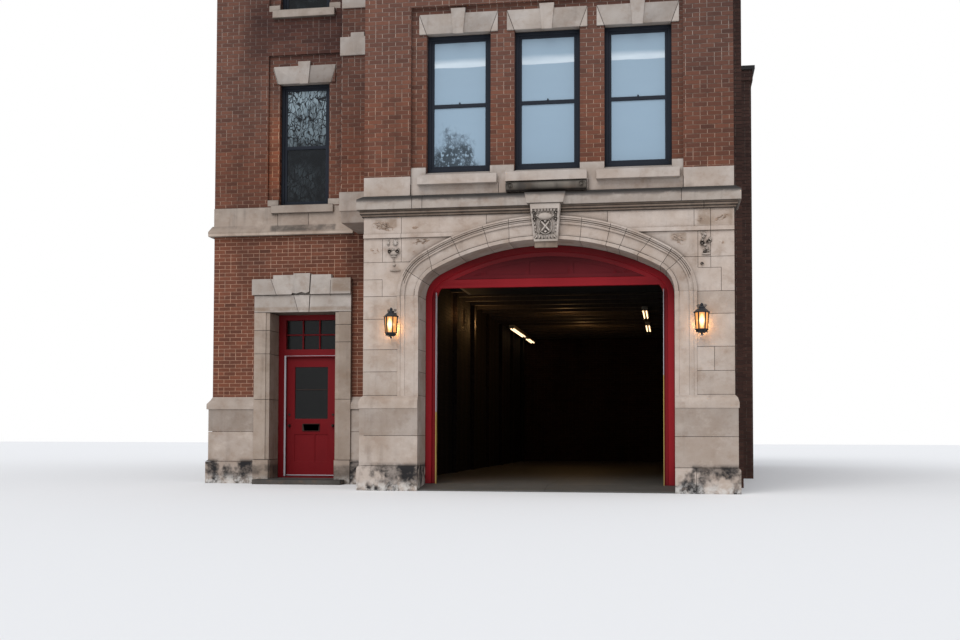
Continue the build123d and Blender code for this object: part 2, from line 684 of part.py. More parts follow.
def bay_sill_course():
    """Stone course over the cornice: end blocks, three window sills, the blocks beside them and a ledge."""
    edges = [-FIELD_HALF]
    for x in BAY_WINDOWS_X:
        edges += [x - BAY_WINDOW_HALF, x + BAY_WINDOW_HALF]
    edges += [FIELD_HALF]
    with BuildPart() as course:
        block((-BAY_HALF, BAY_FRONT + COURSE_RECESS, CORNICE_TOP), (BAY_HALF, STONE_BACK, COURSE_TOP))
        for low, high in ((-BAY_HALF, -FIELD_HALF), (FIELD_HALF, BAY_HALF)):
            block((low, BAY_FRONT - END_BLOCK_PROUD, CORNICE_TOP), (high, STONE_BACK, COURSE_TOP))
        for low, high in zip(edges[::2], edges[1::2]):
            block((low, FIELD_FACE - LUG_PROUD, COURSE_TOP), (high, FIELD_FACE, COURSE_TOP + LUG_HEIGHT))
        for x in BAY_WINDOWS_X:
            lower_sill(x, MIDDLE_SILL_PROUD if x == UPPER_AXIS else SILL_PROUD)
        with BuildSketch(side_plane(UPPER_AXIS - LEDGE_WIDTH / 2)):
            with Locations((BAY_FRONT - BED_PROUD, CORNICE_TOP + LEDGE_RADIUS)):
                Circle(LEDGE_RADIUS)
            panel(BAY_FRONT - BED_PROUD, CORNICE_TOP, BAY_FRONT + COURSE_RECESS, COURSE_TOP - SILL_HEIGHT)
        extrude(amount=LEDGE_WIDTH)
    keep(course, "bay_sill_course")


def bay_wall(name, foot, top, level):
    """One storey of the bay's brick front: end pilasters and a recessed field with three windows."""
    sill = SILL_TOP + level
    head = sill + BAY_WINDOW_HEIGHT
    with BuildPart() as wall:
        with BuildSketch(upright(BAY_FRONT + BRICK_WALL)):
            panel(-BAY_HALF, foot, BAY_HALF, top)
            for x in BAY_WINDOWS_X:
                if level:
                    window_cut(x, sill, BAY_WINDOW_WIDTH, BAY_WINDOW_HEIGHT)
                else:
                    panel(x - BAY_WINDOW_HALF, foot, x + BAY_WINDOW_HALF, head, Mode.SUBTRACT)
                    lintel_outline(x, head, BAY_WINDOW_WIDTH, Mode.SUBTRACT)
        extrude(amount=BRICK_WALL)
        block((-FIELD_HALF, BAY_FRONT, COURSE_TOP + level), (FIELD_HALF, FIELD_FACE, FIELD_TOP + level),
              Mode.SUBTRACT)
    keep(wall, name)


def top_cornice():
    """Moulded cornice below the parapet, round the bay, the corner strip and the wing."""
    low = ROOF_TOP - TOP_CORNICE_DROP
    top = low + TOP_CORNICE_HEIGHT
    profile = ((0, low), (TOP_BED_FOOT, low), (TOP_BED_CREST, low + TOP_BED_HEIGHT),
               (TOP_COVE_PROUD, low + TOP_COVE_HEIGHT), (TOP_CORNICE_PROUD, low + TOP_FACE_HEIGHT),
               (TOP_CORNICE_PROUD, top - TOP_SLOPE), (0, top))
    with BuildPart() as cornice:
        moulding(((BAY_HALF, 0), (BAY_HALF, BAY_FRONT), (-BAY_HALF, BAY_FRONT), (-BAY_HALF, STRIP_FRONT),
                  (STRIP_LEFT, STRIP_FRONT), (STRIP_LEFT, 0), (LEFT, 0)), profile)
    keep(cornice, "top_cornice")


def parapet_coping():
    """Stone coping on the parapet all the way round."""
    with BuildPart() as coping:
        with BuildSketch(Plane.XY.offset(PARAPET_TOP)):
            outline(*shell_outline(COPING_PROUD))
            inner = BRICK_WALL + COPING_PROUD
            panel(LEFT + inner, inner, RIGHT - inner, REAR - inner, Mode.SUBTRACT)
            panel(-BAY_HALF + inner, BAY_FRONT + inner, BAY_HALF - inner, inner, Mode.SUBTRACT)
        extrude(amount=COPING_THICK)
    keep(coping, "parapet_coping")


def shell_outline(grow):
    """Plan corners of the upper shell, grown outwards by a distance."""
    return ((-BAY_HALF - grow, BAY_FRONT - grow), (BAY_HALF + grow, BAY_FRONT - grow),
            (BAY_HALF + grow, -grow), (RIGHT + grow, -grow), (RIGHT + grow, REAR + grow),
            (LEFT - grow, REAR + grow), (LEFT - grow, -grow), (STRIP_LEFT - grow, -grow),
            (STRIP_LEFT - grow, STRIP_FRONT - grow), (-BAY_HALF - grow, STRIP_FRONT - grow))


def wing_belt_course():
    """Belt course on the wing: a weathered moulding below a flat band, and blocks on the sills' ends."""
    half = WING_WINDOW_WIDTH / 2
    with BuildPart() as belt:
        block((LEFT, -BELT_PROUD, BELT_LEVEL), (STRIP_LEFT, 0, BELT_TOP))
        for sill in WING_SILLS:
            for low in (-half - PANEL_MARGIN, half):
                block((WING_WINDOW_X + low, 0, sill),
                      (WING_WINDOW_X + low + PANEL_MARGIN, PANEL_RECESS, sill + WING_LUG_HEIGHT))
        reach = WING_WINDOW_WIDTH / 2 + LINTEL_BEARING
        block((WING_WINDOW_X - reach, -BELT_PROUD, WING_SILL_TOP - SILL_HEIGHT),
              (WING_WINDOW_X + reach, 0, BELT_TOP), Mode.SUBTRACT)
        moulding(((BELT_END_X, 0), (LEFT, 0), (LEFT, LOWER_WING_WALL)),
                 ((0, BELT_MOULD_LEVEL), (BELT_PROUD, BELT_MOULD_LEVEL),
                  (BELT_MOULD_PROUD, BELT_MOULD_LEVEL + BELT_NOSE_RISE),
                  (BELT_MOULD_PROUD, BELT_MOULD_LEVEL + BELT_NOSE_TOP), (BELT_PROUD, BELT_LEVEL),
                  (0, BELT_LEVEL)))
    keep(belt, "wing_belt_course")


def wing_base_course():
    """Limestone base of the wing beside the entrance: plinth, flat face and moulded cap."""
    cap = BASE_TOP - BASE_CAP_HEIGHT
    profile = ((0, 0), (BASE_PLINTH_PROUD, 0), (BASE_PLINTH_PROUD, PLINTH_HEIGHT),
               (BASE_PROUD, PLINTH_HEIGHT + BASE_PLINTH_SLOPE), (BASE_PROUD, cap), (BASE_CAP_PROUD, cap),
               (BASE_CAP_PROUD, cap + BASE_CAP_FACE), (BASE_CAP_NECK, BASE_TOP - BASE_CAP_NECK_DROP),
               (0, BASE_TOP))
    with BuildPart() as base:
        moulding(((SURROUND_LEFT, 0), (LEFT, 0), (LEFT, LOWER_WING_WALL)), profile)
        moulding(((-BAY_HALF - PLINTH_PROUD, 0), (SURROUND_RIGHT, 0)), profile)
    keep(base, "wing_base_course")


def corner_strip():
    """Overhanging brick strip in the corner between the wing and the bay, above the belt course."""
    with BuildPart() as strip:
        block((STRIP_LEFT, STRIP_FRONT, BELT_TOP), (-BAY_HALF, 0, PARAPET_TOP))
    keep(strip, "corner_strip")


def corner_strip_stones():
    """Belt, blind lintel with a raised middle and upper block on the corner strip."""
    head = SILL_TOP + BAY_WINDOW_HEIGHT + BLIND_LINTEL_RISE
    top = head + LINTEL_HEIGHT
    front = STRIP_FRONT - LINTEL_PROUD
    key = STRIP_MIDDLE - BLIND_KEY_SHIFT
    half = KEYBLOCK_WIDTH / 2
    upper = BELT_LEVEL + STOREY - UPPER_BLOCK_DROP
    with BuildPart() as stones:
        block((STRIP_LEFT, STRIP_FRONT, BELT_MOULD_LEVEL), (-BAY_HALF, 0, BELT_TOP))
        block((STRIP_LEFT - BELT_PROUD, STRIP_FRONT - BELT_PROUD, BELT_LEVEL),
              (-BAY_HALF, -BELT_PROUD, BELT_TOP))
        block((STRIP_LEFT - LINTEL_PROUD, front, head), (-BAY_HALF, STRIP_FRONT, top))
        block((key - half, front, top), (key + half, STRIP_FRONT, top + KEYBLOCK_RISE))
        block((STRIP_LEFT, front, upper), (-BAY_HALF, STRIP_FRONT, BELT_TOP + STOREY))
    keep(stones, "corner_strip_stones")


def door_surround():
    """Limestone surround of the side entrance: jambs on foot blocks, a lintel and a stepped hood."""
    shoulder = HOOD_SHOULDER_WIDTH / 2
    key = HOOD_KEY_WIDTH / 2
    mould = JAMB_MOULD_WIDTH
    with BuildPart() as surround:
        with BuildSketch(upright(LOWER_WING_WALL)):
            outline((SURROUND_LEFT, 0), (SURROUND_LEFT, SURROUND_TOP), (SURROUND_RIGHT, SURROUND_TOP),
                    (SURROUND_RIGHT, 0), (ENTRY_RIGHT, 0), (ENTRY_RIGHT, ENTRY_TOP), (ENTRY_LEFT, ENTRY_TOP),
                    (ENTRY_LEFT, 0))
        extrude(amount=LOWER_WING_WALL + SURROUND_PROUD)
        with BuildSketch(upright(JAMB_MOULD_DEPTH - SURROUND_PROUD)):
            panel(ENTRY_LEFT - mould, JAMB_FOOT_HEIGHT, ENTRY_RIGHT + mould, ENTRY_TOP)
        extrude(amount=JAMB_MOULD_DEPTH, mode=Mode.SUBTRACT)
        with BuildSketch(upright(0)):
            panel(SURROUND_LEFT - HOOD_LEFT_REACH, SURROUND_TOP, SURROUND_RIGHT, SURROUND_TOP + HOOD_END_RISE)
            panel(ENTRY_X - shoulder, SURROUND_TOP, ENTRY_X + shoulder, SURROUND_TOP + HOOD_SHOULDER_RISE)
            panel(ENTRY_X - key, SURROUND_TOP, ENTRY_X + key, SURROUND_TOP + HOOD_KEY_RISE)
        extrude(amount=HOOD_PROUD)
        for low, high in ((SURROUND_LEFT, ENTRY_LEFT), (ENTRY_RIGHT, SURROUND_RIGHT)):
            block((low, -SURROUND_PROUD - JAMB_FOOT_PROUD, 0), (high, -SURROUND_PROUD, JAMB_FOOT_HEIGHT))
    keep(surround, "door_surround")


def side_door_frame():
    """Red frame of the side entrance with its transom bar, muntins and the panes behind them."""
    bar_top = LEAF_TOP + LEAF_GAP + TRANSOM_BAR
    head = ENTRY_TOP - TRANSOM_HEAD
    front = ENTRY_REVEAL + MUNTIN_SETBACK
    back = front + MUNTIN_DEPTH
    with BuildPart() as frame:
        with BuildSketch(upright(ENTRY_REVEAL + ENTRY_FRAME_DEPTH)):
            panel(ENTRY_LEFT, FLOOR_TOP, ENTRY_RIGHT, ENTRY_TOP)
            panel(LEAF_LEFT - LEAF_GAP, FLOOR_TOP + THRESHOLD_HEIGHT,
                  LEAF_RIGHT + LEAF_GAP, LEAF_TOP + LEAF_GAP, Mode.SUBTRACT)
            panel(LEAF_LEFT, bar_top, LEAF_RIGHT, head, Mode.SUBTRACT)
        extrude(amount=ENTRY_FRAME_DEPTH)
        light = LEAF_WIDTH / (TRANSOM_BARS + 1)
        middle = (bar_top + head) / 2
        for n in range(1, TRANSOM_BARS + 1):
            x = LEAF_LEFT + n * light
            block((x - MUNTIN / 2, front, bar_top), (x + MUNTIN / 2, back, head))
        block((LEAF_LEFT, front, middle - MUNTIN / 2), (LEAF_RIGHT, back, middle + MUNTIN / 2))
    keep(frame, "side_door_frame")
    with BuildPart() as glass:
        block((LEAF_LEFT, back, bar_top), (LEAF_RIGHT, back + GLASS_THICK, head))
    keep(glass, "transom_glass")


def side_door():
    """Side door leaf: glazed above, a letter slot and two upright panels below."""
    left, right = LEAF_LEFT + LEAF_STILE, LEAF_RIGHT - LEAF_STILE
    glass_foot, glass_top = LEAF_FOOT + LEAF_GLASS_SILL, LEAF_TOP - LEAF_GLASS_HEAD
    stile = left + (right - left) * LEAF_PANEL_SHARE
    with BuildPart() as leaf:
        block((LEAF_LEFT, LEAF_FRONT, LEAF_FOOT), (LEAF_RIGHT, LEAF_BACK, LEAF_TOP))
        block((left, LEAF_FRONT, glass_foot), (right, LEAF_BACK, glass_top), Mode.SUBTRACT)
        for low, high in ((left, stile), (stile + LEAF_PANEL_STILE, right)):
            block((low, LEAF_FRONT, LEAF_FOOT + LEAF_PANEL_FOOT),
                  (high, LEAF_FRONT + LEAF_PANEL_DEPTH, LEAF_FOOT + LEAF_PANEL_TOP), Mode.SUBTRACT)
    keep(leaf, "side_door")
    with BuildPart() as pane:
        front = (LEAF_FRONT + LEAF_BACK - GLASS_THICK) / 2
        block((left, front, glass_foot), (right, front + GLASS_THICK, glass_top))
    keep(pane, "side_door_glass")


def knuckle_face(radius):
    """Outline of a hinge knuckle or pin on the hinge axis, in the current level sketch."""
    with Locations((HINGE_X, HINGE_Y)):
        RegularPolygon(radius, KNUCKLE_SIDES)


def side_door_hardware():
    """What turns with the leaf: knobs, bolts, letter slot and the middle knuckles of the hinges."""
    knob_z = LEAF_FOOT + KNOB_LEVEL
    ends = (LEAF_LEFT + KNOB_INSET, LEAF_RIGHT - KNOB_INSET)
    third = HINGE_HEIGHT / KNUCKLES
    with BuildPart() as hardware:
        with BuildSketch(upright(LEAF_FRONT)):
            with Locations(*((x, knob_z) for x in ends)):
                RegularPolygon(KNOB_RADIUS, HARDWARE_SIDES)
        extrude(amount=KNOB_REACH, taper=KNOB_TAPER)
        with BuildSketch(upright(LEAF_FRONT)):
            with Locations(*((x, knob_z + BOLT_RISE) for x in ends)):
                RegularPolygon(BOLT_RADIUS, HARDWARE_SIDES)
        extrude(amount=BOLT_REACH)
        slot = LEAF_FOOT + SLOT_LEVEL
        block((ENTRY_X - SLOT_WIDTH / 2, LEAF_FRONT - SLOT_PROUD, slot),
              (ENTRY_X + SLOT_WIDTH / 2, LEAF_FRONT, slot + SLOT_HEIGHT))
        for z in HINGES_Z:
            with BuildSketch(Plane.XY.offset(z + third + KNUCKLE_GAP)):
                knuckle_face(KNUCKLE_RADIUS)
                panel(HINGE_X, LEAF_BACK, HINGE_X + HINGE_PLATE, LEAF_BACK + HINGE_PLATE_THICK)
                with Locations((HINGE_X, HINGE_Y)):
                    RegularPolygon(PIN_RADIUS + PIN_CLEARANCE, KNUCKLE_SIDES, major_radius=False,
                                   mode=Mode.SUBTRACT)
            extrude(amount=third - 2 * KNUCKLE_GAP)
    keep(hardware, "side_door_hardware")


def side_door_hinges():
    """Fixed halves of the hinges: a plate and two knuckles on a pin, on the back of the frame."""
    third = HINGE_HEIGHT / KNUCKLES
    with BuildPart() as hinges:
        for z in HINGES_Z:
            with BuildSketch(Plane.XY.offset(z)):
                knuckle_face(PIN_RADIUS)
            extrude(amount=HINGE_HEIGHT)
            for foot in (z, z + HINGE_HEIGHT - third):
                with BuildSketch(Plane.XY.offset(foot)):
                    knuckle_face(KNUCKLE_RADIUS)
                    panel(HINGE_X - HINGE_PLATE, LEAF_BACK, HINGE_X, LEAF_BACK + HINGE_PLATE_THICK)
                extrude(amount=third)
    keep(hinges, "side_door_hinges")


def door_step():
    """Stone step in front of the side entrance."""
    with BuildPart() as step:
        front = -SURROUND_PROUD - JAMB_FOOT_PROUD
        block((SURROUND_LEFT + STEP_INSET, front - STEP_REACH, 0),
              (SURROUND_RIGHT - STEP_INSET, front, STEP_HEIGHT))
        block((ENTRY_LEFT, front, 0), (ENTRY_RIGHT, 0, FLOOR_TOP))
    keep(step, "door_step")


def door_arch(inset, base, mode=Mode.ADD):
    """Outline of the archway, drawn in by an inset, down to a level base."""
    arch_face(STONE_HALF - inset, ARCH_RISE - inset, ARCH_HAUNCH - inset, SPRING_LEVEL, base, mode)


def apparatus_door_frame():
    """Red lining round the archway: a face band, an inner band set back from it and a head beam."""
    with BuildPart() as frame:
        with BuildSketch(upright(DOOR_FRONT + DOOR_FRAME_DEPTH)):
            door_arch(0, FLOOR_TOP)
            door_arch(DOOR_BAND, FLOOR_TOP, Mode.SUBTRACT)
            panel(-FRAME_HALF, DOOR_HEAD, FRAME_HALF, DOOR_HEAD + DOOR_BEAM_HEIGHT)
        extrude(amount=DOOR_FRAME_DEPTH)
        with BuildSketch(upright(DOOR_FRONT + DOOR_JAMB_STEP)):
            door_arch(DOOR_JAMB_FACE, FLOOR_TOP)
        extrude(amount=DOOR_JAMB_STEP, mode=Mode.SUBTRACT)
    keep(frame, "apparatus_door_frame")


def tympanum():
    """Panelled infill between the head beam and the arched lining."""
    low = DOOR_HEAD + DOOR_BEAM_HEIGHT
    back = DOOR_FRONT + DOOR_FRAME_DEPTH
    pitch = 2 * (FRAME_HALF - TYMPANUM_RAIL) / TYMPANUM_PANELS
    with BuildPart() as infill:
        with BuildSketch(upright(back)):
            door_arch(DOOR_BAND, SPRING_LEVEL)
            panel(-STONE_HALF, SPRING_LEVEL - STONE_HALF, STONE_HALF, low, Mode.SUBTRACT)
        extrude(amount=TYMPANUM_THICK)
        with BuildSketch(upright(back - TYMPANUM_THICK + TYMPANUM_PANEL_DEPTH)):
            door_arch(DOOR_BAND + TYMPANUM_RAIL, SPRING_LEVEL)
            panel(-STONE_HALF, SPRING_LEVEL - STONE_HALF, STONE_HALF, low + TYMPANUM_RAIL, Mode.SUBTRACT)
            for n in range(1, TYMPANUM_PANELS):
                x = (n - TYMPANUM_PANELS / 2) * pitch
                panel(x - TYMPANUM_STILE / 2, low, x + TYMPANUM_STILE / 2, SPRING_LEVEL + ARCH_RISE,
                      Mode.SUBTRACT)
        extrude(amount=TYMPANUM_PANEL_DEPTH, mode=Mode.SUBTRACT)
    keep(infill, "tympanum")


def overhead_door():
    """Sectional door raised level under the joists, with its tracks hung from them."""
    start = STONE_BACK + TRACK_WIDTH
    length = CURTAIN_SECTIONS * (CURTAIN_SECTION + CURTAIN_GAP)
    with BuildPart() as curtain:
        for n in range(CURTAIN_SECTIONS):
            y = start + n * (CURTAIN_SECTION + CURTAIN_GAP)
            block((-FRAME_HALF, y, CURTAIN_LEVEL),
                  (FRAME_HALF, y + CURTAIN_SECTION, CURTAIN_LEVEL + CURTAIN_THICK))
    keep(curtain, "overhead_door")
    with BuildPart() as tracks:
        for side in (-1, 1):
            low, high = sorted((side * FRAME_HALF, side * (FRAME_HALF + TRACK_WIDTH)))
            block((low, start, CURTAIN_LEVEL), (high, start + length, CURTAIN_LEVEL + TRACK_HEIGHT))
            for joist in JOISTS_Y:
                y = joist + (JOIST_WIDTH - TRACK_HEIGHT) / 2
                if y + TRACK_HEIGHT < start + length:
                    block((low, y, CURTAIN_LEVEL + TRACK_HEIGHT), (high, y + TRACK_HEIGHT, JOIST_FOOT))
    keep(tracks, "overhead_door_tracks")


def window_set(frames, glass, places):
    """Double-hung windows: frames with sashes, and panes. Each place is (plane, x, sill, width, height)."""
    with BuildPart() as frame:
        for plane, x, sill, width, height in places:
            half = width / 2
            middle = sill + height / 2 - MEETING_DROP
            with BuildSketch(plane):
                panel(x - half, sill, x + half, sill + height)
                inner = half - FRAME_FACE
                panel(x - inner, sill + FRAME_FACE, x + inner, sill + height - FRAME_FACE, Mode.SUBTRACT)
            extrude(amount=FRAME_DEPTH)
            with BuildSketch(plane.offset(FRAME_DEPTH / 3)):
                panel(x - inner, sill + FRAME_FACE, x + inner, sill + height - FRAME_FACE)
                pane = inner - SASH_FACE
                low = sill + FRAME_FACE + SASH_FACE
                panel(x - pane, low, x + pane, middle - MEETING_RAIL / 2, Mode.SUBTRACT)
                panel(x - pane, middle + MEETING_RAIL / 2, x + pane,
                      sill + height - FRAME_FACE - SASH_FACE, Mode.SUBTRACT)
            extrude(amount=SASH_DEPTH)
    keep(frame, frames)
    with BuildPart() as panes:
        for plane, x, sill, width, height in places:
            pane = width / 2 - FRAME_FACE - SASH_FACE
            middle = sill + height / 2 - MEETING_DROP
            with BuildSketch(plane.offset(FRAME_DEPTH / 2)):
                panel(x - pane, sill + FRAME_FACE + SASH_FACE, x + pane, middle - MEETING_RAIL / 2)
                panel(x - pane, middle + MEETING_RAIL / 2, x + pane, sill + height - FRAME_FACE - SASH_FACE)
            extrude(amount=GLASS_THICK)
    keep(panes, glass)


def bay_places():
    """Windows of the bay."""
    plane = upright(FIELD_FACE + WINDOW_SETBACK + FRAME_DEPTH)
    return [(plane, x, SILL_TOP + level, BAY_WINDOW_WIDTH, BAY_WINDOW_HEIGHT)
            for x in BAY_WINDOWS_X for level in (0, STOREY)]


def wing_places():
    """Windows of the wing's front."""
    plane = upright(PANEL_RECESS + WINDOW_SETBACK + FRAME_DEPTH)
    return [(plane, WING_WINDOW_X, WING_SILL_TOP + level, WING_WINDOW_WIDTH, WING_WINDOW_HEIGHT)
            for level in (0, STOREY)]


def side_places():
    """Windows of both long sides and the rear."""
    setback = WINDOW_SETBACK + FRAME_DEPTH
    right = Plane.YZ.offset(RIGHT - setback)
    left = Plane(origin=(LEFT + setback, 0, 0), x_dir=(0, -1, 0), z_dir=(-1, 0, 0))
    rear = Plane(origin=(0, REAR - setback, 0), x_dir=(-1, 0, 0), z_dir=(0, 1, 0))
    spots = [(right, y) for y in SIDE_WINDOWS_Y]
    spots += [(left, -y) for y in SIDE_WINDOWS_Y]
    spots += [(rear, -x) for x in REAR_WINDOWS_X]
    return [(plane, along, WING_SILL_TOP + level, WING_WINDOW_WIDTH, WING_WINDOW_HEIGHT)
            for plane, along in spots for level in (0, STOREY)]


def front_window_blinds():
    """Roller blinds on the back of the bay's window frames."""
    with BuildPart() as blinds:
        for plane, x, sill, width, height in bay_places():
            half = width / 2
            with BuildSketch(plane):
                panel(x - half, sill + height - BLIND_DROP, x + half, sill + height)
            extrude(amount=-BLIND_THICK)
    keep(blinds, "front_window_blinds")


def floors():
    """Second floor, third floor and roof deck."""
    levels = (("second_floor", SECOND_FLOOR_TOP), ("third_floor", THIRD_FLOOR_TOP), ("roof_deck", ROOF_TOP))
    for name, top in levels:
        with BuildPart() as deck:
            block((INNER_LEFT, BRICK_WALL, top - FLOOR_DEPTH), (INNER_RIGHT, INNER_REAR, top))
            front = STONE_BACK if top == SECOND_FLOOR_TOP else BAY_FRONT + BRICK_WALL
            block((-BAY_HALF + BRICK_WALL, front, top - FLOOR_DEPTH),
                  (BAY_HALF - BRICK_WALL, BRICK_WALL, top))
        keep(deck, name)


def ceiling_joists():
    """Joists under the second floor, across the apparatus room."""
    with BuildPart() as joists:
        for y in JOISTS_Y:
            right = BAY_HALF - BRICK_WALL if y < 0 else INNER_RIGHT
            block((BEARING_RIGHT, y, JOIST_FOOT), (right, y + JOIST_WIDTH, JOIST_TOP))
    keep(joists, "ceiling_joists")


def ceiling_lights():
    """Lights under the joists: one long run on the left and a row of short ones on the right."""
    half = LIGHT_WIDTH / 2
    foot = JOIST_FOOT - LIGHT_DEPTH
    with BuildPart() as lights:
        x = BEARING_RIGHT + LONG_LIGHT_INSET
        end = INNER_REAR - LONG_LIGHT_END
        block((x - half, end - LONG_LIGHT, foot), (x + half, end, JOIST_FOOT))
        x = INNER_RIGHT - SHORT_LIGHT_INSET
        for n in range(SHORT_LIGHT_COUNT):
            y = SHORT_LIGHT_FIRST + n * SHORT_LIGHT_PITCH
            block((x - half, y, foot), (x + half, y + SHORT_LIGHT, JOIST_FOOT))
    keep(lights, "ceiling_lights")


def stone_places():
    """Openings with bedded stones: (plane of the outer face, recess, x, sill, width, height)."""
    rear = Plane(origin=(0, REAR, 0), x_dir=(-1, 0, 0), z_dir=(0, 1, 0))
    left = Plane(origin=(LEFT, 0, 0), x_dir=(0, -1, 0), z_dir=(-1, 0, 0))
    spots = [(upright(0), PANEL_RECESS, WING_WINDOW_X)]
    spots += [(side_plane(RIGHT), 0, y) for y in SIDE_WINDOWS_Y]
    spots += [(left, 0, -y) for y in SIDE_WINDOWS_Y]
    spots += [(rear, 0, -x) for x in REAR_WINDOWS_X]
    return [(plane, recess, along, sill, WING_WINDOW_WIDTH, WING_WINDOW_HEIGHT)
            for plane, recess, along in spots for sill in WING_SILLS]


def bay_stone_places(level):
    """The bay's openings on the storey at a height over the second floor, as in stone_places."""
    return [(upright(BAY_FRONT), FIELD_RECESS, x, SILL_TOP + level, BAY_WINDOW_WIDTH, BAY_WINDOW_HEIGHT)
            for x in BAY_WINDOWS_X]


def window_stones():
    """Stone sills and lintels bedded in the walls, with a raised middle block on each front lintel."""
    upper = stone_places() + bay_stone_places(STOREY)
    with BuildPart() as sills:
        for plane, recess, x, sill, width, height in upper:
            reach = width / 2 + LINTEL_BEARING
            with BuildSketch(plane.offset(-BRICK_WALL)):
                panel(x - reach, sill - SILL_HEIGHT, x + reach, sill)
            extrude(amount=BRICK_WALL + SILL_PROUD)
    keep(sills, "window_sills")
    with BuildPart() as lintels:
        for plane, recess, x, sill, width, height in upper + bay_stone_places(0):
            with BuildSketch(plane.offset(-BRICK_WALL)):
                lintel_outline(x, sill + height, width)
            extrude(amount=BRICK_WALL - recess + LINTEL_PROUD)
            if recess:
                with BuildSketch(plane.offset(-recess)):
                    keyblock_outline(x, sill + height)
                extrude(amount=KEYBLOCK_PROUD)
    keep(lintels, "window_lintels")


def lantern(side):
    """Six-sided wall lantern: tail, glazed body, roof and finial on a bracket with a wall plate."""
    x = side * LANTERN_X
    y = BAY_FRONT - LANTERN_REACH
    body_foot = LANTERN_LEVEL + LANTERN_TAIL_HEIGHT
    body_top = body_foot + LANTERN_BODY_HEIGHT
    roof_top = body_top + LANTERN_ROOF_HEIGHT
    stages = ((LANTERN_LEVEL, LANTERN_TAIL_RADIUS, body_foot, LANTERN_FOOT_RADIUS),
              (body_foot, LANTERN_FOOT_RADIUS, body_top, LANTERN_TOP_RADIUS),
              (body_top, LANTERN_EAVES_RADIUS, roof_top, LANTERN_CROWN_RADIUS),
              (roof_top, LANTERN_FINIAL_RADIUS, roof_top + LANTERN_FINIAL_HEIGHT, LANTERN_TAIL_RADIUS))
    for foot, foot_radius, top, top_radius in stages:
        with BuildSketch(Plane.XY.offset(foot)) as low:
            with Locations((x, y)):
                RegularPolygon(foot_radius, LANTERN_SIDES)
        with BuildSketch(Plane.XY.offset(top)) as high:
            with Locations((x, y)):
                RegularPolygon(top_radius, LANTERN_SIDES)
        loft([low.sketch, high.sketch], ruled=True)
    block((x - BRACKET_WIDTH / 2, y, roof_top - BRACKET_HEIGHT), (x + BRACKET_WIDTH / 2, BAY_FRONT, roof_top))
    block((x - BRACKET_PLATE_WIDTH / 2, BAY_FRONT - BRACKET_PLATE_THICK, roof_top - BRACKET_PLATE_HEIGHT),
          (x + BRACKET_PLATE_WIDTH / 2, BAY_FRONT, roof_top))


def lanterns():
    """Pair of wall lanterns beside the archway."""
    with BuildPart() as lamps:
        lantern(-1)
        lantern(1)
    keep(lamps, "lanterns")


def chimney_block(proud, foot, top):
    """Part of the chimney against the right wall, proud of the breast on its three free sides."""
    block((RIGHT, CHIMNEY_FRONT - proud, foot),
          (RIGHT + CHIMNEY_PROUD + proud, CHIMNEY_FRONT + CHIMNEY_WIDTH + proud, top))


def chimney():
    """Brick chimney breast on the right side with a corbelled head and a metal cap."""
    with BuildPart() as breast:
        chimney_block(0, 0, CHIMNEY_TOP)
        chimney_block(CHIMNEY_HEAD_PROUD, CHIMNEY_TOP - CHIMNEY_HEAD_HEIGHT, CHIMNEY_TOP)
    keep(breast, "chimney_breast")
    with BuildPart() as cap:
        chimney_block(CHIMNEY_CAP_PROUD, CHIMNEY_TOP, CHIMNEY_TOP + CHIMNEY_CAP_HEIGHT)
    keep(cap, "chimney_cap")


os.makedirs("parts", exist_ok=True)
floor_slab()
wing_walls()
side_wall("left_wall", LEFT, INNER_LEFT)
side_wall("right_wall", INNER_RIGHT, RIGHT)
rear_wall()
bay_side_walls()
bearing_wall()
piers()
arch_wall()
arch_ring()
keystone()
bay_cornice()
bay_sill_course()
bay_wall("bay_second_floor_wall", COURSE_TOP, THIRD_FLOOR_TOP, 0)
bay_wall("bay_third_floor_wall", THIRD_FLOOR_TOP, PARAPET_TOP, STOREY)
top_cornice()
parapet_coping()
wing_belt_course()
wing_base_course()
corner_strip()
corner_strip_stones()
door_surround()
side_door_frame()
side_door()
side_door_hardware()
side_door_hinges()
door_step()
apparatus_door_frame()
tympanum()
overhead_door()
window_set("front_window_frames", "front_window_glass", bay_places() + wing_places())
window_set("side_window_frames", "side_window_glass", side_places())
front_window_blinds()
floors()
ceiling_joists()
ceiling_lights()
window_stones()
lanterns()
chimney()
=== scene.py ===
"""Looks of a brick and limestone fire station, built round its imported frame.

Metres, +Z up. X = 0 is the centre line of the apparatus doorway, Y = 0 the front plane of the main body,
and the street lies towards -Y.
"""

import logging
import math
import random
from dataclasses import dataclass
from enum import Enum
from functools import cached_property
from typing import Callable, Iterable, Optional, Sequence, Union

import bpy
from mathutils import Matrix, Vector, noise
from mathutils.bvhtree import BVHTree


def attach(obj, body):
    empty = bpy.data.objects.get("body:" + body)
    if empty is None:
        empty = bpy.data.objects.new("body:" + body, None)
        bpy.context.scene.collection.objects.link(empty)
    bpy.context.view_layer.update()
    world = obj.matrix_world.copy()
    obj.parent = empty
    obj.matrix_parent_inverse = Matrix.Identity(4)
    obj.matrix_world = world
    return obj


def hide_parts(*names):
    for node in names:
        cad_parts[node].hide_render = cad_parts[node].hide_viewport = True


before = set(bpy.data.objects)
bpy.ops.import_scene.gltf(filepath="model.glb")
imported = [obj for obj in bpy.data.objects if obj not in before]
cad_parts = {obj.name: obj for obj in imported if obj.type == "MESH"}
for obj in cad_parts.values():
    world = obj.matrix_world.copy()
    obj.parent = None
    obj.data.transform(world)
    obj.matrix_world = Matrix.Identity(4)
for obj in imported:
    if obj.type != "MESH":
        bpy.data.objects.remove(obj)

LOG = logging.getLogger("fire_station")

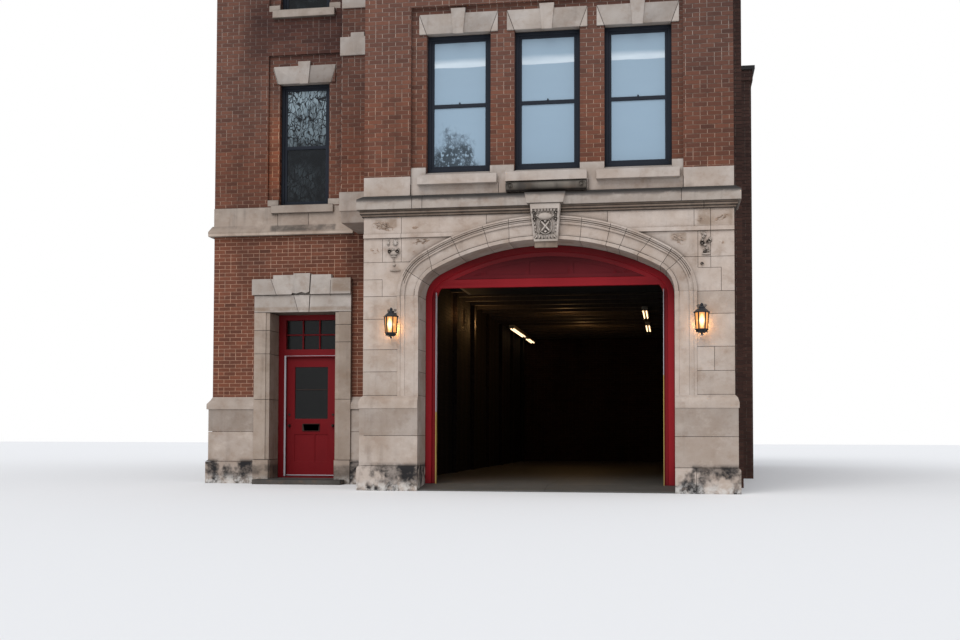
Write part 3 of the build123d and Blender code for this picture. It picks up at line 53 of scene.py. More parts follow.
Point = tuple[float, float, float]
Flat = tuple[float, float]
Spot = tuple[float, float, float, float]
Box = tuple[Point, Point]
Line = tuple[Flat, Flat]
Colour = tuple[float, float, float]
Input = Union["Value", float, Sequence[float]]
Piece = bpy.types.Object
Material = bpy.types.Material

# Main lines of the front. The stone part of the bay ends at STONE_BACK and SPRING.
BAY_HALF = 3.10
BAY_FRONT = -2.35
STONE_BACK = -1.50
STONE_HALF = 2.14
SPRING = 3.30
BODY_LEFT = -6.75
WING_WINDOW_X = -4.95
BAY_WINDOWS = (-1.48, 0.035, 1.55)
BAY_AXIS = BAY_WINDOWS[1]
STOREY = 3.84
JOINT = 0.007
# Inside of the outer walls, where brick is painted darker as painted shade of the room.
ROOM_X = (-6.44, 3.06)
ROOM_Y = (0.3, 17.34)
ROOM_TOP = 12.2
TONE_SEED = 7503
# Distances under which corners are merged, and degrees that make an edge flat, worn or soft.
MERGE = 0.00001
NODE_MERGE = 0.00005
FLAT_ANGLE = 1
WORN_ANGLE = 28
SOFT_ANGLE = 30
# Both sides of an axis, and both upper storeys.
BOTH = (-1, 1)
LEVELS = (0, 1)


def paint(red: int, green: int, blue: int) -> Colour:
    """Turn a colour given in screen values from 0 to 255 into the linear values that shaders take."""
    shares = (channel / 255 for channel in (red, green, blue))
    return tuple(share / 12.92 if share <= 0.04045 else ((share + 0.055) / 1.055) ** 2.4 for share in shares)


def dim(colour: Colour, share: float) -> Colour:
    """Multiply a colour by one number."""
    return tuple(part * share for part in colour)


class Value:
    """A shader value that is combined with others by writing plain expressions."""

    def __init__(self, shader: "Shader", socket: bpy.types.NodeSocket) -> None:
        """Wrap an output of a shader."""
        self.shader = shader
        self.socket = socket

    def math(self, operation: str, *others: Input, flip: bool = False) -> "Value":
        """Combine with other values in one Math node, where flip puts this value last."""
        operands = (*others, self) if flip else (self, *others)
        return self.shader.node("ShaderNodeMath", dict(enumerate(operands)), operation=operation)

    def __add__(self, other: Input) -> "Value":
        """Sum."""
        return self.math("ADD", other)

    __radd__ = __add__

    def __mul__(self, other: Input) -> "Value":
        """Product."""
        return self.math("MULTIPLY", other)

    __rmul__ = __mul__

    def __sub__(self, other: Input) -> "Value":
        """Difference."""
        return self.math("SUBTRACT", other)

    def __rsub__(self, other: Input) -> "Value":
        """Difference, reflected."""
        return self.math("SUBTRACT", other, flip=True)

    def __truediv__(self, other: Input) -> "Value":
        """Quotient."""
        return self.math("DIVIDE", other)

    def __gt__(self, other: Input) -> "Value":
        """1 where this is more than the other, else 0."""
        return self.math("GREATER_THAN", other)

    def __lt__(self, other: Input) -> "Value":
        """1 where this is less than the other, else 0."""
        return self.math("LESS_THAN", other)

    def __abs__(self) -> "Value":
        """Size without sign."""
        return self.math("ABSOLUTE")

    def floor(self) -> "Value":
        """Next whole number below."""
        return self.math("FLOOR")

    def part(self) -> "Value":
        """Part behind the point."""
        return self.math("FRACT")

    def edge(self) -> "Value":
        """Distance to the nearest whole number."""
        return 0.5 - abs(self.part() - 0.5)

    def step(self, low: float, high: float) -> "Value":
        """Rise smoothly from 0 at low to 1 at high."""
        return self.shader.node("ShaderNodeMapRange", {0: self, 1: low, 2: high}, interpolation_type="SMOOTHSTEP")

    def fall(self, low: float, high: float) -> "Value":
        """Fall smoothly from 1 at low to 0 at high."""
        return 1.0 - self.step(low, high)

    def within(self, low: float, high: float) -> "Value":
        """1 between two limits, else 0."""
        return (self > low) * (self < high)


class Shader:
    """One material with its Principled shader, and the few helpers that its nodes are made with."""

    def __init__(self, name: str) -> None:
        """Start an empty material.

        Args:
            name: Name of the material.
        """
        self.material = bpy.data.materials.new(name)
        self.material.use_nodes = True
        self.tree = self.material.node_tree

    def node(self, kind: str, inputs: dict = {}, output: Union[int, str] = 0, **settings: object) -> Value:
        """Add a node, its settings first and then its inputs.

        Args:
            kind: Type of the node.
            inputs: Value or link for each input, by number or name.
            output: The output to return, by number or name.
            settings: Properties of the node.

        Returns:
            The chosen output.
        """
        made = self.tree.nodes.new(kind)
        for key, setting in settings.items():
            setattr(made, key, setting)
        for key, given in inputs.items():
            if isinstance(given, Value):
                self.tree.links.new(given.socket, made.inputs[key])
            else:
                made.inputs[key].default_value = given
        return Value(self, made.outputs[output])

    @cached_property
    def place(self) -> Value:
        """Place on the building, in metres."""
        return self.node("ShaderNodeTexCoord", output="Object")

    @cached_property
    def axes(self) -> tuple[Value, Value, Value]:
        """The place's three values."""
        return self.split(self.place)

    @cached_property
    def facing(self) -> tuple[Value, Value, Value]:
        """Direction that the surface faces, as three values."""
        return self.split(self.node("ShaderNodeNewGeometry", output="Normal"))

    def split(self, vector: Value) -> tuple[Value, Value, Value]:
        """Split a vector into its three values."""
        outputs = self.node("ShaderNodeSeparateXYZ", {0: vector}).socket.node.outputs
        return tuple(Value(self, out) for out in outputs)

    def vector(self, x: Input, y: Input, z: Input) -> Value:
        """Join three values to a vector."""
        return self.node("ShaderNodeCombineXYZ", {0: x, 1: y, 2: z})

    def dice(self, *numbers: Input) -> Value:
        """Random value between 0 and 1 that belongs to three numbers."""
        return self.node("ShaderNodeTexWhiteNoise", {0: self.vector(*numbers)}, noise_dimensions="3D")

    def noise(self, scale: Union[float, Point], detail: float = 4.0, rough: float = 0.55) -> Value:
        """Cloudy pattern between 0 and 1.

        Args:
            scale: Clouds a metre, one number or one for each axis.
            detail: Octaves.
            rough: Strength of the finer octaves.

        Returns:
            The pattern.
        """
        where, size = self.place, scale
        if isinstance(scale, tuple):
            where, size = self.node("ShaderNodeVectorMath", {0: where, 1: scale}, operation="MULTIPLY"), 1.0
        return self.node("ShaderNodeTexNoise", {"Vector": where, "Scale": size, "Detail": detail, "Roughness": rough})

    def mix(self, share: Input, low: Input, high: Input, blend: str = "MIX") -> Value:
        """Blend two colours: a share of 0 gives the first, 1 the second."""
        low, high = (given if isinstance(given, Value) else (*given, 1.0) for given in (low, high))
        return self.node("ShaderNodeMix", {0: share, 6: low, 7: high}, output=2, data_type="RGBA", blend_type=blend)

    def coats(self, base: Input, *coats: tuple[Input, Input], blend: str = "MIX") -> Value:
        """Lay coats of (share, colour) over a base, one after another.

        Args:
            base: Colour under the coats.
            coats: Share and colour of each coat.
            blend: Way of blending.

        Returns:
            The colour on top.
        """
        for share, colour in coats:
            base = self.mix(share, base, colour, blend)
        return base

    def hollow(self, reach: float, low: float, high: float) -> Value:
        """1 in hollows that are narrower than the reach, falling to 0 on open faces."""
        return self.node("ShaderNodeAmbientOcclusion", {"Distance": reach}, "AO", samples=6).fall(low, high)

    def close(self, values: dict[str, Input], height: Optional[Value] = None, depth: float = 0.0) -> Material:
        """Set or link inputs of the Principled shader and give the surface relief.

        Args:
            values: Value, colour or link for each input.
            height: Pattern from 0 to 1.
            depth: Metres between its lowest and its highest.

        Returns:
            The material.
        """
        if height:
            values["Normal"] = self.node("ShaderNodeBump", {"Height": height, "Distance": depth, "Strength": 1.0})
        for name, given in values.items():
            socket = self.tree.nodes["Principled BSDF"].inputs[name]
            if isinstance(given, Value):
                self.tree.links.new(given.socket, socket)
            else:
                socket.default_value = (*given, 1.0) if isinstance(given, tuple) else given
        return self.material


@dataclass(frozen=True)
class Brickwork:
    """Fired brick in running bond, some bricks halved: pale joints that darken upwards, soot in patches."""

    name: str
    clay: Colour
    ember: Colour
    mortar: Colour
    shadow: Colour
    soot: float
    cool: float = 0.5
    # Strength of the painted shade between the room wall's ribs.
    rib_shade: float = 0.0
    # Paint patches of light and shade on the street front.
    light_and_shade: bool = False
    length: float = 0.233
    course: float = 0.0745
    joint: float = 0.005

    def material(self) -> Material:
        """Build the material.

        Returns:
            The brick material.
        """
        shader = Shader(self.name)
        x, y, z = shader.axes
        across, _, up = (abs(part) for part in shader.facing)
        along = x + (y - x) * (across > 0.6) + (shader.noise(9.0, 2.0) - 0.5) * 0.006
        height = z + (y - z) * (up > 0.6) + (shader.noise(6.0, 1.0) - 0.5) * 0.006
        row = (height / self.course).floor()
        run = along / self.length + (row * 0.5).part()
        halved = shader.dice(run.floor(), row, 11.0) > 0.85
        brick = run.floor() * 2.0 + halved * (run.part() > 0.5)
        end = run.edge().math("MINIMUM", abs(run.part() - 0.5) + (1.0 - halved)) * self.length
        level = ((height / self.course).edge() * self.course).step(self.joint * 0.6, self.joint * 1.6)
        clay = end.step(self.joint * 0.6, self.joint * 1.4) * level
        pick, burnt = shader.dice(brick, row, (across > 0.6) * 7.0), shader.dice(row, brick, 3.0)
        grain = shader.noise(60.0, 3.0, 0.65)
        tone = shader.coats(self.clay, (pick, self.ember), ((burnt > 0.93) * 0.25, paint(48, 34, 32)),
                            (grain * 0.3, paint(44, 27, 20)))
        smear, patchy = shader.noise(2.3, 4.0, 0.6), shader.noise(13.0, 3.0, 0.6).step(0.36, 0.66)
        higher_up = z.step(4.4, 6.0)
        lime = shader.mix(smear * 0.4 + patchy * 0.5 + higher_up * 0.2, self.mortar, dim(self.mortar, 0.42))
        # Bed joints take the shadow colour, darker than the upright joints: painted shade in the recessed bed joints,
        # darker towards the top.
        beds = shader.mix(higher_up * 0.55 + patchy * 0.3, self.shadow, dim(self.shadow, 0.2))
        wall = shader.mix(clay, shader.mix(level, beds, lime), tone)
        drift = shader.noise((0.9, 0.9, 0.28), 5.0, 0.6).step(0.42, 0.78)
        streak = shader.noise((7.0, 7.0, 0.5), 3.0, 0.5).step(0.5, 0.85)
        wall = shader.mix(drift * self.soot + streak * (self.soot * 0.4), wall, paint(38, 28, 25))
        wall = shader.mix(z.step(2.5, 8.5) * self.cool, wall, (1.1, 1.3, 1.46), "MULTIPLY")
        if self.light_and_shade:
            wall = self.paint_light_and_shade(shader, wall)
        # Brick inside the room is painted darker: painted shade of the room.
        indoor_shade = x.within(*ROOM_X) * y.within(*ROOM_Y) * (z < ROOM_TOP)
        wall = shader.mix(indoor_shade * 0.7, wall, (0.2, 0.18, 0.16), "MULTIPLY")
        # Dark upright bands between the room wall's ribs: painted shade.
        if self.rib_shade:
            rib = (y / 0.62 + shader.noise(0.7, 2.0)).part()
            wall = shader.mix(rib.step(0.35, 0.5) * rib.fall(0.85, 0.95) * self.rib_shade, wall, paint(16, 13, 11))
        return shader.close({"Base Color": wall, "Roughness": 0.86 + grain * 0.1, "Specular IOR Level": 0.25},
                            clay * (0.7 + pick * 0.17) + grain * 0.2, 0.011)

    def paint_light_and_shade(self, shader: Shader, wall: Value) -> Value:
        """Painted light and shade on the street front, with darker patches over the wing's window, the strip and the
        right.

        Args:
            shader: The shader.
            wall: Colour of the wall so far.

        Returns:
            The colour with the painted light and shade.
        """
        x, y, z = shader.axes
        cloud = shader.noise(0.8, 5.0, 0.62).step(0.3, 0.62)
        front = y.within(-0.1, 0.12)
        # Painted shade on the wing's front in its corner beside the bay.
        corner = x.step(-4.4, -4.0) * (x < -3.84) * front * z.step(5.0, 6.2)
        # Darker patch on the wing over its window.
        over = z.step(7.75, 8.5) * z.fall(9.0, 9.9) * x.step(-6.5, -5.7) * front
        # Darker on the strip, most near the bay.
        strip = y.within(-1.2, -1.12) * z.step(5.3, 6.0)
        # Painted shade under the belt beside the bay.
        belt_shade = x.step(-4.15, -3.95) * (x < -3.0) * z.step(3.7, 4.2) * z.fall(4.8, 4.82) * front
        # Painted warm light low on the front, outside the corner.
        glow = z.fall(6.1, 7.5) * (1.0 - corner)
        # Painted reflection of warm light on the left jamb of the wing's window.
        jamb = x.within(-5.68, -5.44) * z.step(5.4, 6.1) * z.fall(6.9, 7.7) * y.within(-0.1, 0.3)
        # Darker on the bay's front to the right, over the cornice.
        right = (y < -2.2) * x.step(1.9, 2.5) * z.step(5.3, 5.5)
        half = 0.5 + cloud * 0.5
        return shader.coats(
            wall, (corner * (0.55 + cloud * 0.4), (0.5, 0.46, 0.5)), (over * half, (0.52, 0.48, 0.52)),
            (strip * (0.3 + x.step(-3.5, -3.2) * (0.2 + cloud * 0.4)), (0.58, 0.52, 0.54)),
            (belt_shade * 0.6, (0.5, 0.45, 0.45)), (glow * half, (1.17, 0.99, 0.86)), (jamb * 0.8, (1.5, 1.24, 1.0)),
            (right * half, (0.76, 0.79, 0.82)), blend="MULTIPLY")


@dataclass(frozen=True)
class Limestone:
    """Dressed limestone: mottled, a tone to each stone, black where rain and the street reach it."""

    name: str
    pale: Colour
    warm: Colour
    crust: float = 0.25
    foot_stain: float = 0.0
    foot_height: float = 0.45
    ledge_soot: float = 0.8
    # Strength of the painted shade in hollows.
    hollows: float = 0.6
    stained: Optional[Flat] = None
    # Strength of the painted shade on faces that look down.
    under: float = 0.85
    blots: tuple[Spot, ...] = ()
    blot: Colour = (0.246, 0.174, 0.122)
    # Heights of dark lines along moulding edges: painted shade in their grooves.
    lines: tuple[float, ...] = ()

    def material(self) -> Material:
        """Build the material.

        Returns:
            The limestone material.
        """
        shader = Shader(self.name)
        x, _, z = shader.axes
        up = shader.facing[2]
        cloud, patch, grain = shader.noise(1.7, 5.0, 0.6), shader.noise(5.5, 4.0, 0.6), shader.noise(70.0, 4.0, 0.7)
        rust = shader.noise((2.6, 2.6, 3.6), 6.0, 0.68)
        grime = shader.noise((6.0, 6.0, 0.45), 4.0, 0.6).step(0.5, 0.78) * patch.step(0.25, 0.6)
        tone = shader.node("ShaderNodeAttribute", output="Fac", attribute_name="tone")
        # Faces that look down are painted darker: painted shade.
        below = (0.0 - up).step(0.4, 0.9) * (0.4 + patch * 0.6)
        stone = shader.coats(
            self.pale, (cloud.step(0.3, 0.7), self.warm), (tone * 0.5, dim(self.warm, 0.66)),
            (patch.step(0.5, 0.8) * 0.3, paint(112, 84, 62)), (rust.step(0.52, 0.7) * 0.34, paint(134, 108, 88)),
            (rust.step(0.5, 0.3) * 0.3, dim(self.pale, 1.22)), (grain.step(0.5, 0.9) * 0.25, paint(90, 80, 72)),
            (grime * self.crust, paint(62, 56, 52)), (below * self.under, paint(52, 44, 38)))
        if self.stained:
            low, high = self.stained
            drip = (shader.noise((3.4, 3.4, 7.0), 6.0, 0.72) + z.step(low, high) * 0.45).step(0.44, 0.74)
            band = z.step(low, low + 0.1) * z.fall(high, high + 0.12)
            stone = shader.mix(band * drip * 0.9, stone, paint(50, 47, 46))
        for left, right, low, high in self.blots:
            spot = (x.step(left, left + 0.08) * x.fall(right - 0.05, right) * z.step(low, low + 0.05)
                    * z.fall(high - 0.04, high) * (0.4 + rust.step(0.35, 0.6) * 0.6))
            stone = shader.mix(spot * 0.75, stone, self.blot)
        # Dark lines at the given heights: painted shade in the mouldings' grooves.
        for height in self.lines:
            shade_line = abs(z - height).fall(0.004, 0.016) * (0.55 + patch * 0.8)
            stone = shader.mix(shade_line * 0.85, stone, paint(36, 31, 28))
        stone = shader.mix(z.step(4.9, 5.6), stone, (0.94, 1.0, 1.05), "MULTIPLY")
        ledge = up.step(0.3, 0.75) * (0.45 + patch * 0.8)
        # Soot on ledges, then painted shade in hollows.
        stone = shader.coats(stone, (ledge * self.ledge_soot, paint(44, 42, 40)),
                             (shader.hollow(0.07, 0.25, 0.8) * self.hollows, paint(66, 56, 48)))
        if self.foot_stain:
            near = z.fall(self.foot_height * 0.8, self.foot_height)
            black = (shader.noise((2.2, 2.2, 1.8), 4.0, 0.6).step(0.395, 0.52)
                     * (0.5 + rust.step(0.36, 0.56) * 0.5))
            salt = z.fall(0.04, 0.22) * shader.noise(7.0, 5.0, 0.7).step(0.4, 0.62)
            stone = shader.coats(stone, (near * black * self.foot_stain, paint(34, 32, 33)),
                                 (salt * (self.foot_stain * 0.8), paint(205, 201, 196)))
        return shader.close({"Base Color": stone, "Roughness": 0.8 + grain * 0.12, "Specular IOR Level": 0.3},
                            shader.noise(28.0, 5.0, 0.7) * 0.6 + grain * 0.4, 0.0035)


@dataclass(frozen=True)
class Coating:
    """Paint or metal: brush marks, dust on ledges, chalky patches, painted shade in hollows and under an arch."""

    name: str
    colour: Colour
    worn: Colour
    rough: float
    metal: float = 0.0
    wear: float = 0.3
    dust: float = 0.25
    shine: float = 0.4
    shade: float = 0.0
    # Heights over which painted shade under an arch grows.
    arch_shade: Optional[Flat] = None

    def material(self) -> Material:
        """Build the material.

        Returns:
            The coated material.
        """
        shader = Shader(self.name)
        cloud, speck = shader.noise(2.2, 4.0, 0.6), shader.noise(45.0, 4.0, 0.7)
        marks = shader.noise((30.0, 30.0, 3.0), 3.0, 0.6)
        coat = shader.coats(
            self.colour, (cloud.step(0.3, 0.75) * self.wear, self.worn), (marks * 0.18, dim(self.colour, 0.6)),
            (speck.step(0.66, 0.8) * self.wear * 0.7, dim(self.worn, 0.45)),
            (shader.facing[2].step(0.6, 0.95) * speck * self.dust, paint(150, 142, 132)))
        if self.shade:
            coat = shader.mix(shader.hollow(0.3, 0.2, 0.75) * self.shade, coat, (0.25, 0.25, 0.27), "MULTIPLY")
        # Painted shade under the arch, darker towards the top.
        if self.arch_shade:
            coat = shader.mix(shader.axes[2].step(*self.arch_shade) * 0.8, coat, (0.28, 0.2, 0.22), "MULTIPLY")
        return shader.close({"Base Color": coat, "Roughness": self.rough + cloud * 0.14 + speck * 0.06,
                             "Metallic": self.metal, "Specular IOR Level": self.shine},
                            marks * 0.6 + speck * 0.4, 0.0006)


@dataclass(frozen=True)
class Pane:
    """Window glass with painted reflections: a soft, uneven sheen, a bright band near the top and dark mottling low
    down.
    """

    name: str
    high: Colour
    low: Colour
    cover: float
    storey: float = 5.43
    height: float = 2.36
    mottle: float = 0.2
    band: float = 0.8
    mottle_edge: float = 1.3
    web: float = 0.0

    def material(self) -> Material:
        """Build the material.

        Returns:
            The glass material.
        """
        shader = Shader(self.name)
        x, _, z = shader.axes
        level = ((z - self.storey) / STOREY).part() * (STOREY / self.height)
        ripple, fine = shader.noise((1.6, 1.6, 5.5), 3.0, 0.5), shader.noise((17.0, 17.0, 13.0), 5.0, 0.7)
        # Painted reflection: paler towards the top, with a bright band near it.
        tilt = level - 0.795 - (ripple - 0.5) * 0.02
        band = tilt.step(-0.028, -0.02) * tilt.fall(-0.01, 0.05) * self.band
        sheen = shader.coats(self.low, (level.step(0.1, 0.95) * 0.7 + ripple * 0.3, self.high),
                             (band * (0.6 + ripple * 0.6), paint(222, 233, 240)))
        if self.web:
            sheen = self.webbed(shader, sheen, level)
        # Painted reflection: dark mottling low down, more of it towards the left.
        clump = level + fine * 0.42 + shader.noise(3.0, 2.0) * 0.5 + (x + self.mottle_edge).step(0.0, 0.35) * 0.4
        mottled = clump.fall(0.6, 0.74) * fine.step(0.36, 0.5)
        sheen = shader.mix(mottled * self.mottle, sheen, dim(self.low, 0.12))
        return shader.close({"Base Color": sheen, "Roughness": 0.07 + fine * 0.06, "Specular IOR Level": 0.3,
                             "Alpha": self.cover + ripple * (1.0 - self.cover) * 0.6}, ripple, 0.0012)

    def webbed(self, shader: Shader, sheen: Value, level: Value) -> Value:
        """Lay a painted reflection of pale light over the sheen, broken up by a web of dark strands.

        Args:
            shader: The shader.
            sheen: Colour of the glass so far.
            level: Height in the window, from 0 to 1.

        Returns:
            The colour with the painted reflection on it.
        """
        x, _, z = shader.axes
        sway = shader.vector(x + shader.noise(4.0, 3.0, 0.6) * 0.16, 0.0, z * 0.42 + shader.noise(5.0, 3.0, 0.6) * 0.1)
        strands = 1.0
        for size, width in ((8.0, 0.06), (17.0, 0.09)):
            cell = shader.node("ShaderNodeTexVoronoi", {"Vector": sway, "Scale": size}, "Distance",
                               feature="DISTANCE_TO_EDGE")
            strands = cell.step(width * 0.2, width) * strands
        upper, cloud = level.step(0.49, 0.5), shader.noise(2.2, 5.0, 0.62)
        light = (upper * (0.4 + level.step(0.5, 1.0) * 0.45) * cloud.step(0.3, 0.55)
                 + (1.0 - upper) * 0.07 * cloud.step(0.42, 0.7))
        bar = abs(x - WING_WINDOW_X).fall(0.004, 0.012) * upper
        return shader.coats(sheen, (light * strands * self.web, paint(178, 198, 208)),
                            (bar * self.web * 0.4, paint(150, 172, 184)))


@dataclass(frozen=True)
class Glow:
    """Lamp glass or tube: white-hot at its middle, amber towards its ends and on its side panes."""

    name: str
    core: Colour
    rim: Colour
    strength: float
    middle: float
    reach: float
    front: float = 0.0
    centre: float = 2.57

    def material(self) -> Material:
        """Build the material.

        Returns:
            The glowing material.
        """
        shader = Shader(self.name)
        x, _, z = shader.axes
        away = abs(z - self.middle) + abs(abs(x) - self.centre) * self.front
        cloud = shader.noise(30.0, 3.0, 0.6)
        light = shader.mix((away / self.reach).fall(0.1, 1.0), self.rim, self.core)
        return shader.close({"Base Color": shader.mix(cloud * 0.4, self.rim, self.core),
                             "Emission Color": shader.mix(cloud * 0.25, light, self.rim),
                             "Emission Strength": self.strength, "Roughness": 0.25 + cloud * 0.1})


@dataclass(frozen=True)
class Cloth:
    """Plain woven cloth with a fine over and under weave."""

    name: str
    colour: Colour
    thread: float = 420.0

    def material(self) -> Material:
        """Build the material.

        Returns:
            The cloth material.
        """
        shader = Shader(self.name)
        x, _, z = shader.axes
        weave = (x * self.thread).math("SINE") * (z * self.thread).math("SINE") * 0.5 + 0.5
        cloud = shader.noise(3.0, 4.0, 0.6)
        cloth = shader.mix(weave * 0.25 + cloud * 0.2, self.colour, dim(self.colour, 0.7))
        return shader.close({"Base Color": cloth, "Roughness": 0.85 + cloud * 0.1}, weave, 0.0006)


@dataclass(frozen=True)
class Planks:
    """Boards or sheets side by side: timber, membrane or trowelled floor, with joints between them."""

    name: str
    colour: Colour
    shade: Colour
    width: float
    length: float
    grain: Point
    rough: float = 0.7
    gap: float = 0.003
    relief: float = 0.002

    def material(self) -> Material:
        """Build the material.

        Returns:
            The boarded material.
        """
        shader = Shader(self.name)
        x, y, _ = shader.axes
        across = x / self.width
        run = y / self.length + shader.dice(across.floor(), 1.0, 2.0)
        pick = shader.dice(across.floor(), run.floor(), 5.0)
        edge = (across.edge() * self.width).math("MINIMUM", run.edge() * self.length)
        solid = edge.step(self.gap * 0.5, self.gap * 1.5)
        fibre, cloud = shader.noise(self.grain, 5.0, 0.6), shader.noise(0.8, 5.0, 0.6)
        wood = shader.coats(self.colour, (fibre * 0.5 + pick * 0.35, self.shade),
                            (cloud.step(0.5, 0.75) * 0.35, dim(self.shade, 0.45)))
        wood = shader.mix(solid, dim(self.shade, 0.25), wood)
        return shader.close({"Base Color": wood, "Roughness": self.rough + fibre * 0.15},
                            solid * 0.7 + fibre * 0.3, self.relief)


class Finish(Enum):
    """The finishes of the building."""

    FRONT_BRICK = Brickwork("front_brick", paint(119, 76, 60), paint(97, 63, 52), paint(198, 168, 149),
                            paint(166, 135, 118), 0.4, light_and_shade=True)
    # Darker than the front brick: painted shade on the walls away from the front.
    SIDE_BRICK = Brickwork("side_brick", paint(92, 64, 55), paint(74, 51, 45), paint(128, 110, 98),
                           paint(84, 68, 60), 0.5)
    # Darker still: painted shade of the room, with painted shade between its ribs.
    ROOM_BRICK = Brickwork("room_brick", paint(62, 47, 39), paint(48, 36, 30), paint(80, 68, 58),
                           paint(34, 26, 22), 0.6, cool=0.0, rib_shade=0.9)
    LIMESTONE = Limestone("limestone", paint(190, 177, 167), paint(173, 155, 141), 0.22, ledge_soot=0.3, under=0.3,
                          blots=((2.48, 3.1, 4.36, 4.66), (-2.95, -2.5, 4.44, 4.64), (2.04, 2.36, 4.1, 4.28)))
    # Painted a little paler than the wall stone: painted highlight on the carving.
    CARVED = Limestone("carved_limestone", paint(196, 186, 177), paint(180, 165, 152), 0.12, ledge_soot=0.1,
                       hollows=0.8, under=0.5)
    HEAD_STONE = Limestone("head_limestone", paint(192, 183, 175), paint(172, 160, 150), 0.3, ledge_soot=0.5,
                           under=0.6, blots=((-4.36, -3.9, 3.66, 4.1), (-5.95, -3.9, 3.3, 3.42)))
    RUSTY = Limestone("rusty_limestone", paint(180, 162, 148), paint(158, 132, 112), 0.25, ledge_soot=0.2,
                      hollows=0.7, under=0.3)
    # Bed moulds and keystone foot, painted darker than the cornice: painted shade under the fascia.
    BED_MOULD = Limestone("shaded_stone", paint(158, 142, 128), paint(124, 106, 92), 0.6, hollows=0.85,
                          under=0.6, lines=(4.655, 4.698, 4.742, 4.772))
    SILL = Limestone("sill_stone", paint(183, 167, 153), paint(158, 140, 126), 0.45, ledge_soot=0.6,
                     blots=((-5.62, -4.25, 4.85, 5.02),), blot=paint(56, 53, 50))
    FOOT_STONE = Limestone("foot_stone", paint(188, 175, 165), paint(170, 153, 139), 0.22, 1.0, 0.5, 0.18)
    JAMB_STONE = Limestone("jamb_stone", paint(172, 156, 143), paint(156, 139, 124), 0.3, 0.6, 0.4, 0.5)
    SOOTED = Limestone("sooted_stone", paint(124, 116, 106), paint(70, 64, 58), 1.0, ledge_soot=0.5,
                       lines=(5.02, 5.165))
    STEP = Limestone("step_stone", paint(88, 84, 80), paint(70, 66, 62), 0.5)
    WEATHERED = Limestone("weathered_stone", paint(184, 174, 165), paint(168, 155, 144), 0.35, ledge_soot=0.95,
                          stained=(4.85, 4.985))
    COPING = Limestone("coping_stone", paint(150, 142, 133), paint(128, 120, 112), 0.6)
    MORTAR = Limestone("joint_mortar", paint(78, 68, 60), paint(62, 54, 48), 0.5)
    # Red paints with painted shade in hollows and under the arch.
    RED = Coating("red_paint", paint(158, 24, 34), paint(130, 21, 29), 0.38, wear=0.25, dust=0.1, shine=0.2,
                  shade=0.7, arch_shade=(3.62, 4.0))
    DOOR_RED = Coating("door_red_paint", paint(116, 11, 19), paint(96, 12, 19), 0.4, wear=0.3, dust=0.1, shine=0.15)
    DARK_RED = Coating("board_red_paint", paint(118, 26, 34), paint(94, 20, 27), 0.42, wear=0.3, shine=0.2,
                       arch_shade=(3.7, 4.02))
    FRAME_PAINT = Coating("window_paint", paint(38, 42, 50), paint(48, 52, 60), 0.55, shine=0.1, shade=0.8)
    SASH_PAINT = Coating("sash_paint", paint(36, 39, 47), paint(46, 49, 57), 0.42, shine=0.25)
    CREAM = Coating("cream_paint", paint(198, 170, 96), paint(166, 140, 78), 0.45)
    SEAL = Coating("weather_strip", paint(186, 182, 188), paint(150, 146, 152), 0.5)
    BLACK_IRON = Coating("black_iron", paint(27, 30, 36), paint(38, 42, 48), 0.42, 0.3, 0.5, 0.3)
    BRONZE = Coating("dark_bronze", paint(58, 42, 36), paint(40, 30, 27), 0.4, 0.55, 0.5, 0.1)
    GALVANISED = Coating("galvanised", paint(128, 130, 132), paint(98, 100, 102), 0.42, 0.75, 0.5, 0.3)
    # Door paint darkened: painted shade inside the doorway.
    STEEL_DOOR = Coating("door_enamel", paint(52, 51, 49), paint(40, 39, 38), 0.5, 0.1, 0.4, 0.4)
    WHITE_ENAMEL = Coating("light_enamel", paint(150, 142, 128), paint(120, 112, 98), 0.4)
    CORNICE_METAL = Coating("cornice_metal", paint(150, 136, 122), paint(126, 112, 98), 0.5, 0.1, 0.5, 0.5)
    CAP_METAL = Coating("cap_metal", paint(44, 44, 46), paint(62, 60, 58), 0.5, 0.3, 0.5, 0.5)
    # Colours of the glass are painted reflections.
    BAY_GLASS = Pane("bay_glass", paint(149, 170, 186), paint(148, 171, 189), 0.92, mottle=0.95)
    WING_GLASS = Pane("wing_glass", paint(24, 29, 33), paint(10, 12, 14), 0.92, 5.385, 2.405, 0.5, 0.0, 9.0,
                      0.85)
    DOOR_GLASS = Pane("door_glass", paint(26, 26, 24), paint(17, 17, 16), 0.88, 0.5, 3.0, 0.3, 0.0, 9.0)
    BLIND = Cloth("blind_cloth", paint(168, 186, 200))
    LAMP_GLASS = Glow("lamp_glass", (1.0, 0.72, 0.34), (0.26, 0.1, 0.025), 3.2, 2.79, 0.15, 1.6)
    TUBE = Glow("warm_tube", (1.0, 0.72, 0.42), (0.8, 0.5, 0.25), 3.0, 4.07, 0.2)
    TIMBER = Planks("timber", paint(70, 54, 42), paint(46, 35, 27), 0.14, 3.2, (24.0, 1.5, 24.0))
    ROOFING = Planks("roofing", paint(66, 66, 68), paint(48, 48, 50), 1.0, 8.0, (9.0, 9.0, 9.0), 0.8, 0.012, 0.006)
    CONCRETE = Planks("concrete", paint(84, 81, 76), paint(62, 60, 56), 3.0, 3.6, (5.0, 5.0, 5.0), 0.5, 0.006)
    # The timber of the floors, painted darker for the ceiling joists: painted shade of the room.
    DARK_ROOM = Planks("shaded_timber", paint(58, 48, 39), paint(40, 33, 27), 0.14, 3.2, (24.0, 1.5, 24.0))


class Palette:
    """Materials that are built when they are first asked for."""

    def __init__(self) -> None:
        """Start with no materials."""
        self.made: dict[Finish, Material] = {}

    def get(self, finish: Finish) -> Material:
        """Material of a finish.

        Args:
            finish: The finish.

        Returns:
            Its material.
        """
        if finish not in self.made:
            self.made[finish] = finish.value.material()
        return self.made[finish]


